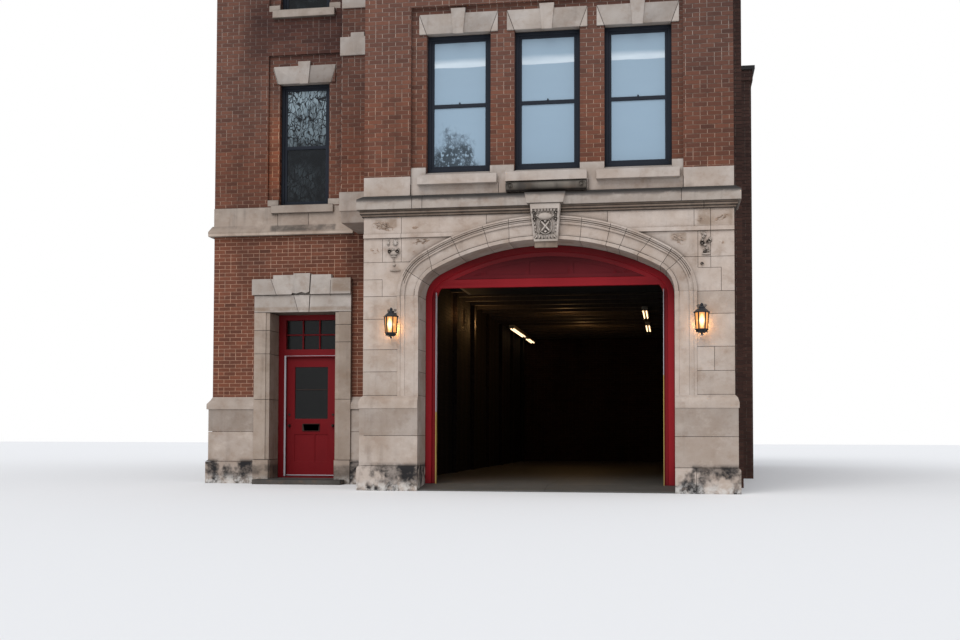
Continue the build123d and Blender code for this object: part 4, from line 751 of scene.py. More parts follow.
class Bench:
    """Mesh work with Blender's own tools. A piece ends at the origin, with its place in its mesh."""

    def __init__(self, palette: Palette) -> None:
        """Keep the palette and start the random draws of the stones' tones."""
        self.palette = palette
        self.random = random.Random(TONE_SEED)

    @staticmethod
    def clear() -> None:
        """Leave edit mode and select nothing."""
        if bpy.context.object and bpy.context.object.mode != "OBJECT":
            bpy.ops.object.mode_set(mode="OBJECT")
        bpy.ops.object.select_all(action="DESELECT")

    @staticmethod
    def grip(piece: Piece) -> None:
        """Select a piece alone and make it the active one.

        Args:
            piece: The piece.
        """
        Bench.clear()
        piece.select_set(True)
        bpy.context.view_layer.objects.active = piece

    @staticmethod
    def edit(action: str = "SELECT") -> None:
        """Enter edit mode and select everything, or nothing."""
        bpy.ops.object.mode_set(mode="EDIT")
        bpy.ops.mesh.select_all(action=action)

    @staticmethod
    def close(bevel: float = 0.0, segments: int = 1, outwards: bool = True) -> None:
        """Turn every face outwards, ease every edge and leave edit mode.

        Args:
            bevel: Width of the eased edges.
            segments: Faces across an eased edge.
            outwards: Turn the faces.
        """
        bpy.ops.mesh.select_all(action="SELECT")
        if outwards:
            bpy.ops.mesh.normals_make_consistent(inside=False)
        if bevel:
            bpy.ops.mesh.bevel(offset=bevel, segments=segments, affect="EDGES", clamp_overlap=True)
        bpy.ops.object.mode_set(mode="OBJECT")

    def smoothed(self, piece: Piece, degrees: float) -> Piece:
        """Shade the faces smooth that meet under an angle, which is 0 for none of them.

        Args:
            piece: The piece.
            degrees: The angle.

        Returns:
            The piece.
        """
        if degrees:
            self.grip(piece)
            bpy.ops.object.shade_smooth_by_angle(angle=math.radians(degrees))
        return piece

    def blocks(self, boxes: Sequence[Box], bevel: float, segments: int = 1) -> Piece:
        """Blocks with eased edges, in one mesh.

        Args:
            boxes: Low and high corner of each block.
            bevel: Width of the eased edges.
            segments: Faces across an eased edge.

        Returns:
            The piece.
        """
        self.clear()
        for count, (low, high) in enumerate(boxes):
            middle = [(a + b) / 2 for a, b in zip(low, high)]
            bpy.ops.mesh.primitive_cube_add(size=1, location=middle, scale=[b - a for a, b in zip(low, high)])
            if count == 0:
                piece = bpy.context.object
                bpy.ops.object.transform_apply(location=True, rotation=True, scale=True)
                bpy.ops.object.mode_set(mode="EDIT")
        self.close(bevel, segments, False)
        return piece

    def prism(self, outline: Sequence[Flat], low: float, high: float, axis: str = "Y", bevel: float = 0.0) -> Piece:
        """Outline pulled into a solid.

        Args:
            outline: Corners in the plane across the axis, as (x, z) for Y and (y, z) for X.
            low: Where it starts on the axis.
            high: Where it ends on the axis.
            axis: The axis that it is pulled along, X or Y.
            bevel: Width of its eased edges.

        Returns:
            The piece.
        """
        def lift(flat: Flat, depth: float) -> Point:
            """Corner of the outline at a place on the axis."""
            return (depth, *flat) if axis == "X" else (flat[0], depth, flat[1])

        self.clear()
        bpy.ops.mesh.primitive_circle_add(vertices=len(outline), radius=1, fill_type="NGON")
        piece = bpy.context.object
        for corner, flat in zip(piece.data.vertices, outline):
            corner.co = lift(flat, low)
        self.edit()
        bpy.ops.mesh.extrude_region_move(TRANSFORM_OT_translate={"value": lift((0.0, 0.0), high - low)})
        self.close(bevel)
        return piece

    def skin(self, rows: Sequence[Sequence[Point]], closed: bool = False, smooth: float = 0.0) -> Piece:
        """Grid whose rows of corners are set one by one, its ends capped when its rows close.

        Args:
            rows: Rows of points, all with the same number.
            closed: Join the last point of each row to its first and cap both ends.
            smooth: Angle in degrees under which faces are shaded smooth.

        Returns:
            The piece.
        """
        points = [[*row, row[0]] if closed else row for row in rows]
        across, down = len(points[0]) - 1, len(points) - 1
        self.clear()
        bpy.ops.mesh.primitive_grid_add(x_subdivisions=across, y_subdivisions=down, size=2)
        piece = bpy.context.object
        for corner in piece.data.vertices:
            column, line = round((corner.co.x + 1) / 2 * across), round((corner.co.y + 1) / 2 * down)
            corner.co = points[line][column]
        self.edit()
        bpy.ops.mesh.remove_doubles(threshold=MERGE)
        if closed:
            bpy.ops.mesh.select_all(action="DESELECT")
            bpy.ops.mesh.select_non_manifold()
            bpy.ops.mesh.edge_face_add()
        self.close()
        return self.smoothed(piece, smooth)

    def sweep(self, profile: Sequence[Flat], run: Sequence[Flat], smooth: float = 35.0) -> Piece:
        """Moulding with mitred corners along a level run.

        Args:
            profile: Closed outline as (outward, height). Outward is on the left of the way along the run.
            run: Corners of the run as (x, y).
            smooth: Angle in degrees under which faces are shaded smooth.

        Returns:
            The piece.
        """
        ways = [(Vector(b) - Vector(a)).normalized() for a, b in zip(run, run[1:])]
        rows = []
        for count, corner in enumerate(run):
            before, after = ways[max(count - 1, 0)], ways[min(count, len(ways) - 1)]
            left_a, left_b = Vector((-before.y, before.x)), Vector((-after.y, after.x))
            mitre = (left_a + left_b) / (1 + left_a.dot(left_b))
            rows.append([(corner[0] + mitre.x * out, corner[1] + mitre.y * out, height) for out, height in profile])
        return self.skin(rows, True, smooth)

    def turned(self, rings: Sequence[Flat], sides: int, centre: Point = (0.0, 0.0, 0.0), axis: str = "Z",
               smooth: float = 35.0) -> Piece:
        """Round or many-sided form: a circle that is extruded and resized from ring to ring.

        Args:
            rings: Radius and distance along the axis of each ring.
            sides: Sides of the form.
            centre: Where the axis starts.
            axis: Z, or Y for a form that points towards the street.
            smooth: Angle in degrees under which faces are shaded smooth.

        Returns:
            The piece.
        """
        self.clear()
        (radius, height), *rest = rings
        bpy.ops.mesh.primitive_circle_add(vertices=sides, radius=radius, location=(0, 0, height), fill_type="NGON")
        piece = bpy.context.object
        bpy.ops.object.transform_apply(location=True, rotation=True, scale=True)
        self.edit()
        for wide, high in rest:
            bpy.ops.mesh.extrude_region_move(TRANSFORM_OT_translate={"value": (0, 0, high - height)})
            bpy.ops.transform.resize(value=(wide / radius, wide / radius, 1), center_override=(0, 0, high))
            radius, height = wide, high
        self.close()
        turn = Matrix.Rotation(math.radians(90), 4, "X") if axis == "Y" else Matrix.Identity(4)
        piece.data.transform(Matrix.Translation(centre) @ turn)
        return self.smoothed(piece, smooth)

    def join(self, pieces: Sequence[Piece]) -> Piece:
        """Join pieces to one.

        Args:
            pieces: The pieces.

        Returns:
            The joined piece.
        """
        self.grip(pieces[0])
        for piece in pieces:
            piece.select_set(True)
        if len(pieces) > 1:
            bpy.ops.object.join()
        return pieces[0]

    def copies(self, master: Piece, places: Iterable[Matrix]) -> Piece:
        """Set copies of a piece at several places, each with its own mesh, and join them.

        Args:
            master: The piece, around the origin, which goes.
            places: Where each copy goes.

        Returns:
            The joined copies.
        """
        made = []
        for spot in places:
            copy = master.copy()
            copy.data = master.data.copy()
            copy.data.transform(spot)
            if spot.determinant() < 0:
                copy.data.flip_normals()
            bpy.context.collection.objects.link(copy)
            made.append(copy)
        bpy.data.objects.remove(master)
        return self.join(made)

    def cut(self, piece: Piece, cutter: Piece) -> None:
        """Cut one piece out of another.

        Args:
            piece: The piece that is cut.
            cutter: The solid that is taken away, which goes.
        """
        self.grip(piece)
        tool = piece.modifiers.new("cut", "BOOLEAN")
        tool.operation, tool.object, tool.solver = "DIFFERENCE", cutter, "EXACT"
        bpy.ops.object.modifier_apply(modifier=tool.name)
        bpy.data.objects.remove(cutter)

    def merged_node(self, node: str) -> Piece:
        """Copy of a CAD node whose doubled corners are merged.

        Args:
            node: Name of the node.

        Returns:
            The copy.
        """
        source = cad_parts[node]
        piece = source.copy()
        piece.data = source.data.copy()
        piece.parent = None
        bpy.context.collection.objects.link(piece)
        self.grip(piece)
        self.edit()
        bpy.ops.mesh.remove_doubles(threshold=NODE_MERGE)
        bpy.ops.mesh.dissolve_limited(angle_limit=math.radians(FLAT_ANGLE))
        bpy.ops.object.mode_set(mode="OBJECT")
        return piece

    def slits(self, lines: Iterable[Line], depth: Flat) -> Piece:
        """Thin plates that cut the joints of a front.

        Args:
            lines: Line of each joint on the front.
            depth: Where the plates start and end through the wall.

        Returns:
            The plates as one piece.
        """
        plates = []
        for first, last in ((Vector(start), Vector(end)) for start, end in lines):
            way = (last - first).normalized()
            side = Vector((-way.y, way.x)) * (JOINT / 2)
            outline = [tuple(corner) for corner in (first - side, last - side, last + side, first + side)]
            plates.append(self.prism(outline, *depth))
        return self.join(plates)

    def masonry(self, node: str, *rounds: Iterable[Line], depth: Flat = (0.0, 0.0), bevel: float = 0.006) -> Piece:
        """Copy of a CAD node, cut at its joints and with its sharp edges worn.

        Args:
            node: Name of the node.
            rounds: Joints to cut, those of one round clear of each other.
            depth: Where the joints start and end through the wall.
            bevel: Width of the worn edges.

        Returns:
            The copy.
        """
        piece = self.merged_node(node)
        for lines in rounds:
            self.cut(piece, self.slits(lines, depth))
        self.grip(piece)
        edge = piece.modifiers.new("ease", "BEVEL")
        edge.width, edge.segments, edge.limit_method = bevel, 1, "ANGLE"
        edge.angle_limit, edge.use_clamp_overlap = math.radians(WORN_ANGLE), True
        bpy.ops.object.modifier_apply(modifier=edge.name)
        bpy.ops.object.shade_smooth_by_angle(angle=math.radians(SOFT_ANGLE))
        return piece

    def split(self, piece: Piece, chosen: Callable[[Vector], bool]) -> Piece:
        """Take the faces whose middles are chosen out of a piece.

        Args:
            piece: The piece, which keeps the rest.
            chosen: Whether a face goes, by its middle.

        Returns:
            The piece that was taken out.
        """
        self.grip(piece)
        self.edit("DESELECT")
        bpy.ops.object.mode_set(mode="OBJECT")
        for face in piece.data.polygons:
            face.select = chosen(face.center)
        bpy.ops.object.mode_set(mode="EDIT")
        bpy.ops.mesh.separate(type="SELECTED")
        bpy.ops.object.mode_set(mode="OBJECT")
        taken = next(other for other in bpy.context.selected_objects if other is not piece)
        self.clear()
        return taken

    def tint(self, piece: Piece) -> None:
        """Give each loose block of a piece its own tone, which the limestone finishes read.

        Args:
            piece: The piece.
        """
        mesh = piece.data
        parent = list(range(len(mesh.vertices)))

        def root(spot: int) -> int:
            """First corner of the block that a corner belongs to.

            Args:
                spot: Number of the corner.

            Returns:
                Number of the block's first corner.
            """
            while parent[spot] != spot:
                parent[spot] = parent[parent[spot]]
                spot = parent[spot]
            return spot
        for edge in mesh.edges:
            one, two = root(edge.vertices[0]), root(edge.vertices[1])
            parent[one] = two
        tones: dict[int, float] = {}
        layer = mesh.attributes.new("tone", "FLOAT", "FACE")
        for face in mesh.polygons:
            block = root(face.vertices[0])
            layer.data[face.index].value = tones.setdefault(block, self.random.random())

    def finish(self, piece: Piece, name: str, finish: Finish, slot: str = "limestone", replaces: Sequence[str] = (),
               body: str = "building") -> None:
        """Name a piece, dress it and hand it to the frame.

        Args:
            piece: The piece.
            name: Its name.
            finish: Its finish.
            slot: The record's slot; not used.
            replaces: CAD nodes that it stands for.
            body: The body that it moves with.
        """
        piece.name = name
        piece.data.name = name
        if isinstance(finish.value, Limestone):
            self.tint(piece)
        piece.data.materials.clear()
        piece.data.materials.append(self.palette.get(finish))
        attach(piece, body)
        if replaces:
            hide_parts(*replaces)
        LOG.info("%s: %d faces", name, len(piece.data.polygons))

    def whole(self, node: str, name: str, finish: Finish, bevel: float, *rounds: Iterable[Line],
              depth: Flat = (0.0, 0.0), slot: str = "limestone", body: str = "building") -> None:
        """Cut and ease a CAD node and hand it over as one piece.

        Args:
            node: Name of the node.
            name: Name of the piece.
            finish: Its finish.
            bevel: Width of its worn edges.
            rounds: Joints to cut.
            depth: Where the joints start and end through the wall.
            slot: The record's slot, which finish does not use.
            body: The body that it moves with.
        """
        self.finish(self.masonry(node, *rounds, depth=depth, bevel=bevel), name, finish, slot, [node], body)


def bed(height: float, low: float, high: float) -> Line:
    """Level joint across a wall."""
    return ((low, height), (high, height))


def upright(across: float, low: float, high: float) -> Line:
    """Upright joint in a wall."""
    return ((across, low), (across, high))


def arch_point(half: float, rise: float, haunch: float, angle: float) -> Flat:
    """Point on a three-centred arch that faces a given way.

    Args:
        half: Half the span.
        rise: Height of the crown over the springing.
        haunch: Radius at the springing.
        angle: Degrees from the right springing, over 90 at the crown, to 180 at the left.

    Returns:
        The point as (x, z).
    """
    crown = (half ** 2 + rise ** 2 - 2 * half * haunch) / (2 * (rise - haunch))
    haunch_x, drop = half - haunch, crown - rise
    side = 1 if angle <= 90 else -1
    slope = math.radians(angle if angle <= 90 else 180 - angle)
    if slope < math.atan2(drop, haunch_x):
        return (side * (haunch_x + haunch * math.cos(slope)), SPRING + haunch * math.sin(slope))
    return (side * crown * math.cos(slope), SPRING - drop + crown * math.sin(slope))


def place(x: float, y: float, z: float, turn: float = 0.0, size: float = 1.0, mirror: bool = False) -> Matrix:
    """Matrix that sets a copy on a front.

    Args:
        x: Across.
        y: Depth.
        z: Height.
        turn: Degrees that it turns in the plane of the front, clockwise as seen from the street.
        size: Its scale.
        mirror: Swap left and right.

    Returns:
        The matrix.
    """
    scale = Matrix.Diagonal((-size if mirror else size, size, size, 1))
    return Matrix.Translation((x, y, z)) @ Matrix.Rotation(math.radians(turn), 4, "Y") @ scale


def spins(count: int) -> list[Matrix]:
    """Even turns round the upright axis."""
    return [Matrix.Rotation(math.tau * number / count, 4, "Z") for number in range(count)]


@dataclass
class Carver:
    """Leaves and scrolls of the stone carving, each of a few dozen faces."""

    bench: Bench
    leaf_rows: int = 6
    scroll_rows: int = 14
    scroll_turns: float = 1.4
    ring_rows: int = 24
    smooth: float = 50

    def leaf(self, length: float, width: float, lift: float) -> Piece:
        """Leaf that grows up from the origin and swells towards the street.

        Args:
            length: From its stalk to its tip.
            width: At its widest.
            lift: How far it stands out.

        Returns:
            The leaf.
        """
        rows = []
        for along in (step / self.leaf_rows for step in range(self.leaf_rows + 1)):
            half = width / 2 * max(0.04, math.sin(math.pi * along ** 0.7))
            swell = lift * max(0.1, math.sin(math.pi * (0.15 + along * 0.8)))
            rows.append([(x, y, along * length) for x, y in (
                (half, 0.002), (half * 0.55, -swell * 0.8), (0.0, -swell * 0.45), (-half * 0.55, -swell * 0.8),
                (-half, 0.002), (0.0, 0.006))])
        return self.bench.skin(rows, True, self.smooth)

    def scroll(self, radius: float, lift: float) -> Piece:
        """Volute that winds in towards its eye.

        Args:
            radius: Outer radius.
            lift: How far it stands out.

        Returns:
            The volute.
        """
        rows = []
        for along in (step / self.scroll_rows for step in range(self.scroll_rows + 1)):
            angle = math.tau * self.scroll_turns * along
            reach, band = radius * (1 - 0.72 * along), radius * 0.3 * (1 - 0.5 * along)
            x, z = math.cos(angle), math.sin(angle)
            rows.append([(x * away, y, z * away) for away, y in (
                (reach - band, 0.002), (reach - band * 0.5, -lift), (reach, 0.002), (reach - band * 0.5, 0.006))])
        eye = self.bench.turned([(radius * 0.22, 0), (radius * 0.2, lift), (radius * 0.08, lift * 1.3)], 8,
                                (0, 0.002, 0), "Y")
        return self.bench.join([self.bench.skin(rows, True, self.smooth), eye])

    def ring(self, half_width: float, half_height: float, band: float, lift: float) -> Piece:
        """Raised oval rim.

        Args:
            half_width: Half its width.
            half_height: Half its height.
            band: Width of the rim.
            lift: How far it stands out.

        Returns:
            The rim.
        """
        rows = []
        for angle in (math.tau * step / self.ring_rows for step in range(self.ring_rows + 1)):
            x, z = math.cos(angle), math.sin(angle)
            rows.append([(x * (half_width - inset), depth, z * (half_height - inset))
                         for inset, depth in ((0.0, 0.003), (band * 0.5, -lift), (band, 0.003))])
        return self.bench.skin(rows, True, self.smooth)

    def ball(self, across: float, depth: float, height: float) -> Piece:
        """Ellipsoid round the origin.

        Args:
            across: Half its width.
            depth: Half its depth.
            height: Half its height.

        Returns:
            The ellipsoid.
        """
        self.bench.clear()
        bpy.ops.mesh.primitive_uv_sphere_add(segments=24, ring_count=14, radius=1.0)
        made = bpy.context.object
        made.data.transform(Matrix.Diagonal((across, depth, height, 1)))
        return made

    def oval(self, width: float, height: float, lift: float) -> Piece:
        """Oval boss.

        Args:
            width: Its width.
            height: Its height.
            lift: How far it stands out.

        Returns:
            The boss.
        """
        boss = self.bench.turned([(1, 0), (0.93, 0.5), (0.72, 0.8), (0.4, 0.96), (0.1, 1)], 14, axis="Y")
        boss.data.transform(Matrix.Diagonal((width / 2, lift, height / 2, 1)))
        return boss


@dataclass
class Assembly:
    """Part of the building that builds and dresses its own pieces."""

    bench: Bench

    def build(self) -> None:
        """Build and dress every piece."""
        raise NotImplementedError


@dataclass
class Piers(Assembly):
    """Stone piers beside the apparatus doorway, from the ground to the springing."""

    left_beds: tuple[float, ...] = (0.42, 0.93, 1.61, 2.01, 2.388, 2.908, 3.296)
    right_beds: tuple[float, ...] = (0.42, 0.925, 1.611, 1.999, 2.391, 2.928, 3.296)
    right_uprights: tuple[Line, ...] = (upright(2.776, 1.999, 2.391), upright(2.478, 0.0, 0.42))
    past_edge: float = 0.3
    depth: Flat = (-2.6, -1.3)
    core_inset: float = 0.014
    bands: tuple[Point, ...] = ((2.45, 2.5, 0.075), (2.375, 2.45, 0.05), (2.21, 2.375, 0.025), (2.14, 2.21, 0.05))
    band_foot: float = 1.59
    fade: float = 0.4
    trace: float = 0.14

    def ring_feet(self) -> Piece:
        """Feet of the ring's mouldings, which die away to faint bands down each pier.

        Returns:
            The bands.
        """
        back, foot = BAY_FRONT + 0.02, self.band_foot
        strips = []
        for side in BOTH:
            for inner, outer, proud in self.bands:
                thin = BAY_FRONT - proud * self.trace
                outline = [(back, foot), (thin, foot), (thin, SPRING - self.fade),
                           (BAY_FRONT - proud * 0.45, SPRING - self.fade * 0.35), (BAY_FRONT - proud, SPRING),
                           (back, SPRING)]
                strips.append(self.bench.prism(outline, *sorted((side * inner, side * outer)), "X", 0.003))
        return self.bench.join(strips)

    def build(self) -> None:
        """Build both piers, their joints' mortar and the feet of the ring."""
        bench, edge, inset = self.bench, self.past_edge, self.core_inset
        left = [bed(z, -BAY_HALF - edge, -STONE_HALF + edge) for z in self.left_beds]
        right = [bed(z, STONE_HALF - edge, BAY_HALF + edge) for z in self.right_beds]
        bench.whole("left_pier", "left_pier_stones", Finish.FOOT_STONE, 0.006, left, depth=self.depth)
        bench.whole("right_pier", "right_pier_stones", Finish.FOOT_STONE, 0.006, right, self.right_uprights,
                    depth=self.depth)
        cores = [((x + inset, BAY_FRONT + inset, 0.0),
                  (x + BAY_HALF - STONE_HALF - inset, STONE_BACK - inset, SPRING)) for x in (-BAY_HALF, STONE_HALF)]
        bench.finish(bench.blocks(cores, 0.002), "pier_joint_mortar", Finish.MORTAR)
        bench.finish(self.ring_feet(), "ring_feet", Finish.LIMESTONE)


@dataclass
class ArchFront(Assembly):
    """Stone wall round the arch, with its string, carving, voussoirs and keystone."""

    beds: tuple[Line, ...] = (bed(3.88, -3.4, -1.0), bed(3.584, -3.4, -2.773), bed(3.862, 1.0, 3.4),
                              bed(3.681, 2.523, 2.89), bed(4.288, -3.4, 3.4), bed(4.362, -3.4, 3.4))
    uprights: tuple[Line, ...] = (upright(-2.773, 3.2, 3.584), upright(2.89, 3.2, 3.681),
                                  upright(-2.443, 3.88, 4.66), upright(2.518, 3.681, 4.288),
                                  upright(2.723, 3.681, 4.66), upright(2.458, 4.362, 4.66),
                                  upright(-2.772, 3.88, 4.288), upright(-0.98, 4.3, 4.66),
                                  upright(1.05, 4.3, 4.66))
    inner: Point = (2.14, 0.906, 0.49)
    outer: Point = (2.50, 1.296, 0.82)
    joints: tuple[Flat, ...] = ((43.1, 43.5), (58, 58.5), (67.3, 63.9), (71.9, 70), (75.1, 74), (81.4, 81),
                                (98.5, 98.5), (103.6, 105), (110.9, 113), (120.4, 119.5), (149.4, 147.2))
    sprigs: tuple[tuple[float, float, float, float, float, float], ...] = (
        (-2.1, 4.22, 0.36, 0.13, -8, 0.03), (2.2, 4.16, 0.34, 0.2, 28, 0.03), (2.9, 4.5, 0.3, 0.1, -20, 0.03),
        (2.55, 4.48, 0.16, 0.13, 30, 0.03), (-2.75, 4.5, 0.5, 0.2, 10, 0.032), (-2.9, 4.08, 0.22, 0.13, 15, 0.022),
        (2.9, 4.09, 0.14, 0.07, 0, 0.02), (-2.2, 4.46, 0.2, 0.07, 0, 0.016), (-2.2, 4.06, 0.2, 0.08, -40, 0.018))
    sprig_pitch: float = 0.007
    sprig_grain: Flat = (11, 26)
    sprig_shift: float = 7
    drop_leaves: tuple[Spot, ...] = (
        (-2.66, 4.26, 185, 0.7), (-2.69, 4.2, 150, 0.6), (-2.54, 4.27, 180, 1.1), (-2.59, 4.22, 140, 0.8),
        (-2.5, 4.22, 220, 0.8), (-2.65, 4.12, 200, 0.7), (-2.6, 4.12, 150, 0.7), (-2.48, 4.12, 210, 0.7),
        (-2.57, 3.93, 180, 0.6), (2.57, 4.28, 160, 0.7), (2.62, 4.27, 200, 0.8), (2.58, 4.21, 130, 0.8),
        (2.6, 4.16, 210, 0.8), (2.7, 4.18, 150, 0.9), (2.7, 4.14, 215, 0.8), (2.57, 4.13, 190, 0.7),
        (2.65, 4.03, 160, 0.8), (2.69, 4.02, 200, 0.6), (2.6, 3.97, 110, 0.7), (2.66, 3.95, 80, 0.6))
    drop_curls: tuple[tuple[float, float, float, bool], ...] = (
        (-2.64, 4.05, 1.1, False), (-2.5, 4.05, 1.1, True), (2.585, 4.07, 1.2, False), (2.69, 4.1, 1.0, True),
        (2.58, 3.74, 0.8, False), (2.63, 3.93, 0.8, True))
    drop_bosses: tuple[Spot, ...] = (
        (-2.57, 4.03, 0.16, 0.09), (-2.57, 3.975, 0.12, 0.035), (-2.565, 3.83, 0.06, 0.05), (-2.545, 3.735, 0.2, 0.03),
        (-2.54, 4.2, 0.06, 0.09), (-2.665, 4.2, 0.045, 0.06), (2.635, 4.22, 0.045, 0.045), (2.7, 4.09, 0.04, 0.04),
        (2.63, 4.05, 0.06, 0.05), (2.65, 3.9, 0.15, 0.03))
    drop_face: float = BAY_FRONT + 0.003
    groove_width: float = 0.009
    groove_front: float = -2.5
    inner_groove: Flat = (0.061, -2.362)
    outer_grooves: tuple[tuple[float, float, int], ...] = ((-0.038, -2.4, 24), (-0.066, -2.375, 20),
                                                           (-0.095, -2.38, 16))
    sunk: float = 0.022
    shield: float = 4.4
    foot_top: float = 4.155
    wall_depth: Flat = (-2.6, -2.2)
    ring_depth: Flat = (-2.7, -1.3)
    street: float = -4.0

    def joint_line(self, inner_angle: float, outer_angle: float) -> Line:
        """Line of a voussoir joint, carried past both edges of the ring.

        Args:
            inner_angle: Way that the inner edge faces at the joint.
            outer_angle: Way that the outer edge faces at the joint.

        Returns:
            The line.
        """
        start, end = Vector(arch_point(*self.inner, inner_angle)), Vector(arch_point(*self.outer, outer_angle))
        reach = (end - start).normalized() * 0.1
        return (tuple(start - reach), tuple(end + reach))

    def groove(self, edge: Point, inset: float, back: float, start: int = 0) -> Piece:
        """Thin curved plate that cuts a groove along the ring.

        Args:
            edge: Half span, rise and haunch of the edge that the groove follows.
            inset: Distance from that edge to the groove, positive outwards.
            back: Where the groove ends in the stone.
            start: Degrees over the springing where it starts, 0 to run down through it.

        Returns:
            The plate.
        """
        front, rows = self.groove_front, []
        for angle in range(start, 181 - start, 4):
            sides = [arch_point(*(part + inset + shift for part in edge), angle) for shift in (0.0, self.groove_width)]
            rows.append([(x, y, z) for (x, z), y in zip((*sides, *sides[::-1]), (front, front, back, back))])
        if not start:
            ends = [[(x, y, SPRING - 0.1) for x, y, _ in row] for row in (rows[0], rows[-1])]
            rows = [ends[0], *rows, ends[1]]
        return self.bench.skin(rows, True)

    def drops(self) -> Piece:
        """Foliage drops over the piers: hanging leaves, a scrolled cartouche and a tassel each.

        Returns:
            The drops.
        """
        bench, carver, face = self.bench, Carver(self.bench), self.drop_face
        leaf, curl = carver.leaf(0.1, 0.075, 0.055), carver.scroll(0.046, 0.05)
        leaves = bench.copies(leaf, [place(x, face, z, turn, size) for x, z, turn, size in self.drop_leaves])
        curls = bench.copies(curl, [place(x, face, z, 0, size, mirror) for x, z, size, mirror in self.drop_curls])
        bosses = []
        for x, z, wide, high in self.drop_bosses:
            bosses.append(carver.oval(wide, high, 0.045))
            bosses[-1].data.transform(Matrix.Translation((x, face, z)))
        return bench.join([leaves, curls, bench.join(bosses)])

    def worn(self) -> Piece:
        """Carved sprigs worn down to soft lumps, of finely divided plates that sink into the wall at their edges.

        Returns:
            The sprigs.
        """
        made, shift, (along, up) = [], self.sprig_shift, self.sprig_grain
        for x, z, wide, high, turn, lift in self.sprigs:
            self.bench.clear()
            bpy.ops.mesh.primitive_grid_add(x_subdivisions=round(wide / self.sprig_pitch),
                                            y_subdivisions=round(high / self.sprig_pitch), size=1)
            sprig, matrix = bpy.context.object, place(x, BAY_FRONT, z, turn)
            for point in sprig.data.vertices:
                u, v = point.co.x, point.co.y
                fade = max(0.0, min(1.0, 3.2 * (0.5 - math.hypot(u, v))))
                spot = Vector((u * wide * along + x * shift, v * high * up + z * shift, 0.5))
                ridge = 0.9 - abs(noise.fractal(spot, 0.9, 2.0, 3)) * 2.0
                point.co = matrix @ Vector((u * wide, 0.006 - lift * fade * max(0.0, ridge), v * high))
            made.append(sprig)
        return self.bench.join(made)

    def keystone_carving(self, key: Piece) -> Piece:
        """Volutes, crown, cartouche, crossed straps and leaf fringe, set on the curved front of the keystone.

        Args:
            key: The keystone, which gets a hollow behind the straps.

        Returns:
            The carving.
        """
        bench, carver, shield = self.bench, Carver(self.bench), self.shield
        front = BVHTree.FromPolygons([point.co for point in key.data.vertices],
                                     [tuple(face.vertices) for face in key.data.polygons])

        def hit(across: float, z: float) -> tuple[Vector, Vector]:
            """Place and normal of the front at a height."""
            return front.ray_cast(Vector((BAY_AXIS + across, self.street, z)), Vector((0, 1, 0)))[:2]

        def spot(across: float, z: float, turn: float = 0.0, size: float = 1.0, mirror: bool = False) -> Matrix:
            """Matrix that sets a copy on the front, tilted with it.

            Args:
                across: Distance from the axis of the keystone.
                z: Height.
                turn: Degrees that it turns in the plane of the front.
                size: Its scale.
                mirror: Swap left and right.

            Returns:
                The matrix.
            """
            where, normal = hit(across, z)
            tilt = Matrix.Rotation(math.atan2(-normal.z, -normal.y), 4, "X")
            return Matrix.Translation(where) @ tilt @ place(0.0, self.sunk, 0.0, turn, size, mirror)

        curls = bench.copies(carver.scroll(0.05, 0.045), [spot(side * across, z, 0, 1.0, side < 0) for side in BOTH
                                                          for across, z in ((0.18, 4.61), (0.172, 4.51))])
        leaf = carver.leaf(0.095, 0.066, 0.052)
        crown = [spot(0.045 * n, 4.625, 12 * n, 0.75) for n in range(-3, 4)]
        shoulders = [spot(0.048 * n, 4.545, 26 * n, 0.95) for n in range(-2, 3)]
        sides = [spot(side * (0.168 - 0.004 * n), 4.47 - 0.055 * n, side * (150 + 20 * (n % 2)), 0.8)
                 for side in BOTH for n in range(4)]
        fringe = [spot(0.046 * n, 4.285, 180 - 10 * n, 1.25) for n in range(-3, 4)]
        leaves = bench.copies(leaf, [*crown, *shoulders, *sides, *fringe])
        boss = bench.copies(carver.oval(0.25, 0.13, 0.062), [spot(0.0, 4.55)])
        ring = bench.copies(carver.ring(0.128, 0.15, 0.034, 0.05), [spot(0.0, shield)])
        strap = bench.blocks([((-0.105, -0.034, -0.012), (0.105, 0.002, 0.012))], 0.005)
        straps = bench.copies(strap, [spot(0.0, shield, turn) for turn in (-50, 50)])
        heart = bench.copies(carver.oval(0.05, 0.045, 0.045), [spot(0.0, z) for z in (shield, 4.31, 4.48)])
        hollow = bench.copies(carver.ball(0.092, 0.05, 0.112), [spot(0.0, shield)])
        rows = []
        for step in range(13):
            z, reach = 4.195 + 0.04 * step, 0.172 + 0.0032 * step
            face = hit(0.0, z)[0].y + self.sunk
            rows.append([(BAY_AXIS - reach, face, z), (BAY_AXIS + reach, face, z),
                         (BAY_AXIS + reach, -3.0, z), (BAY_AXIS - reach, -3.0, z)])
        bench.cut(key, bench.skin(rows, True))
        bench.cut(key, hollow)
        return bench.join([curls, leaves, boss, ring, straps, heart])

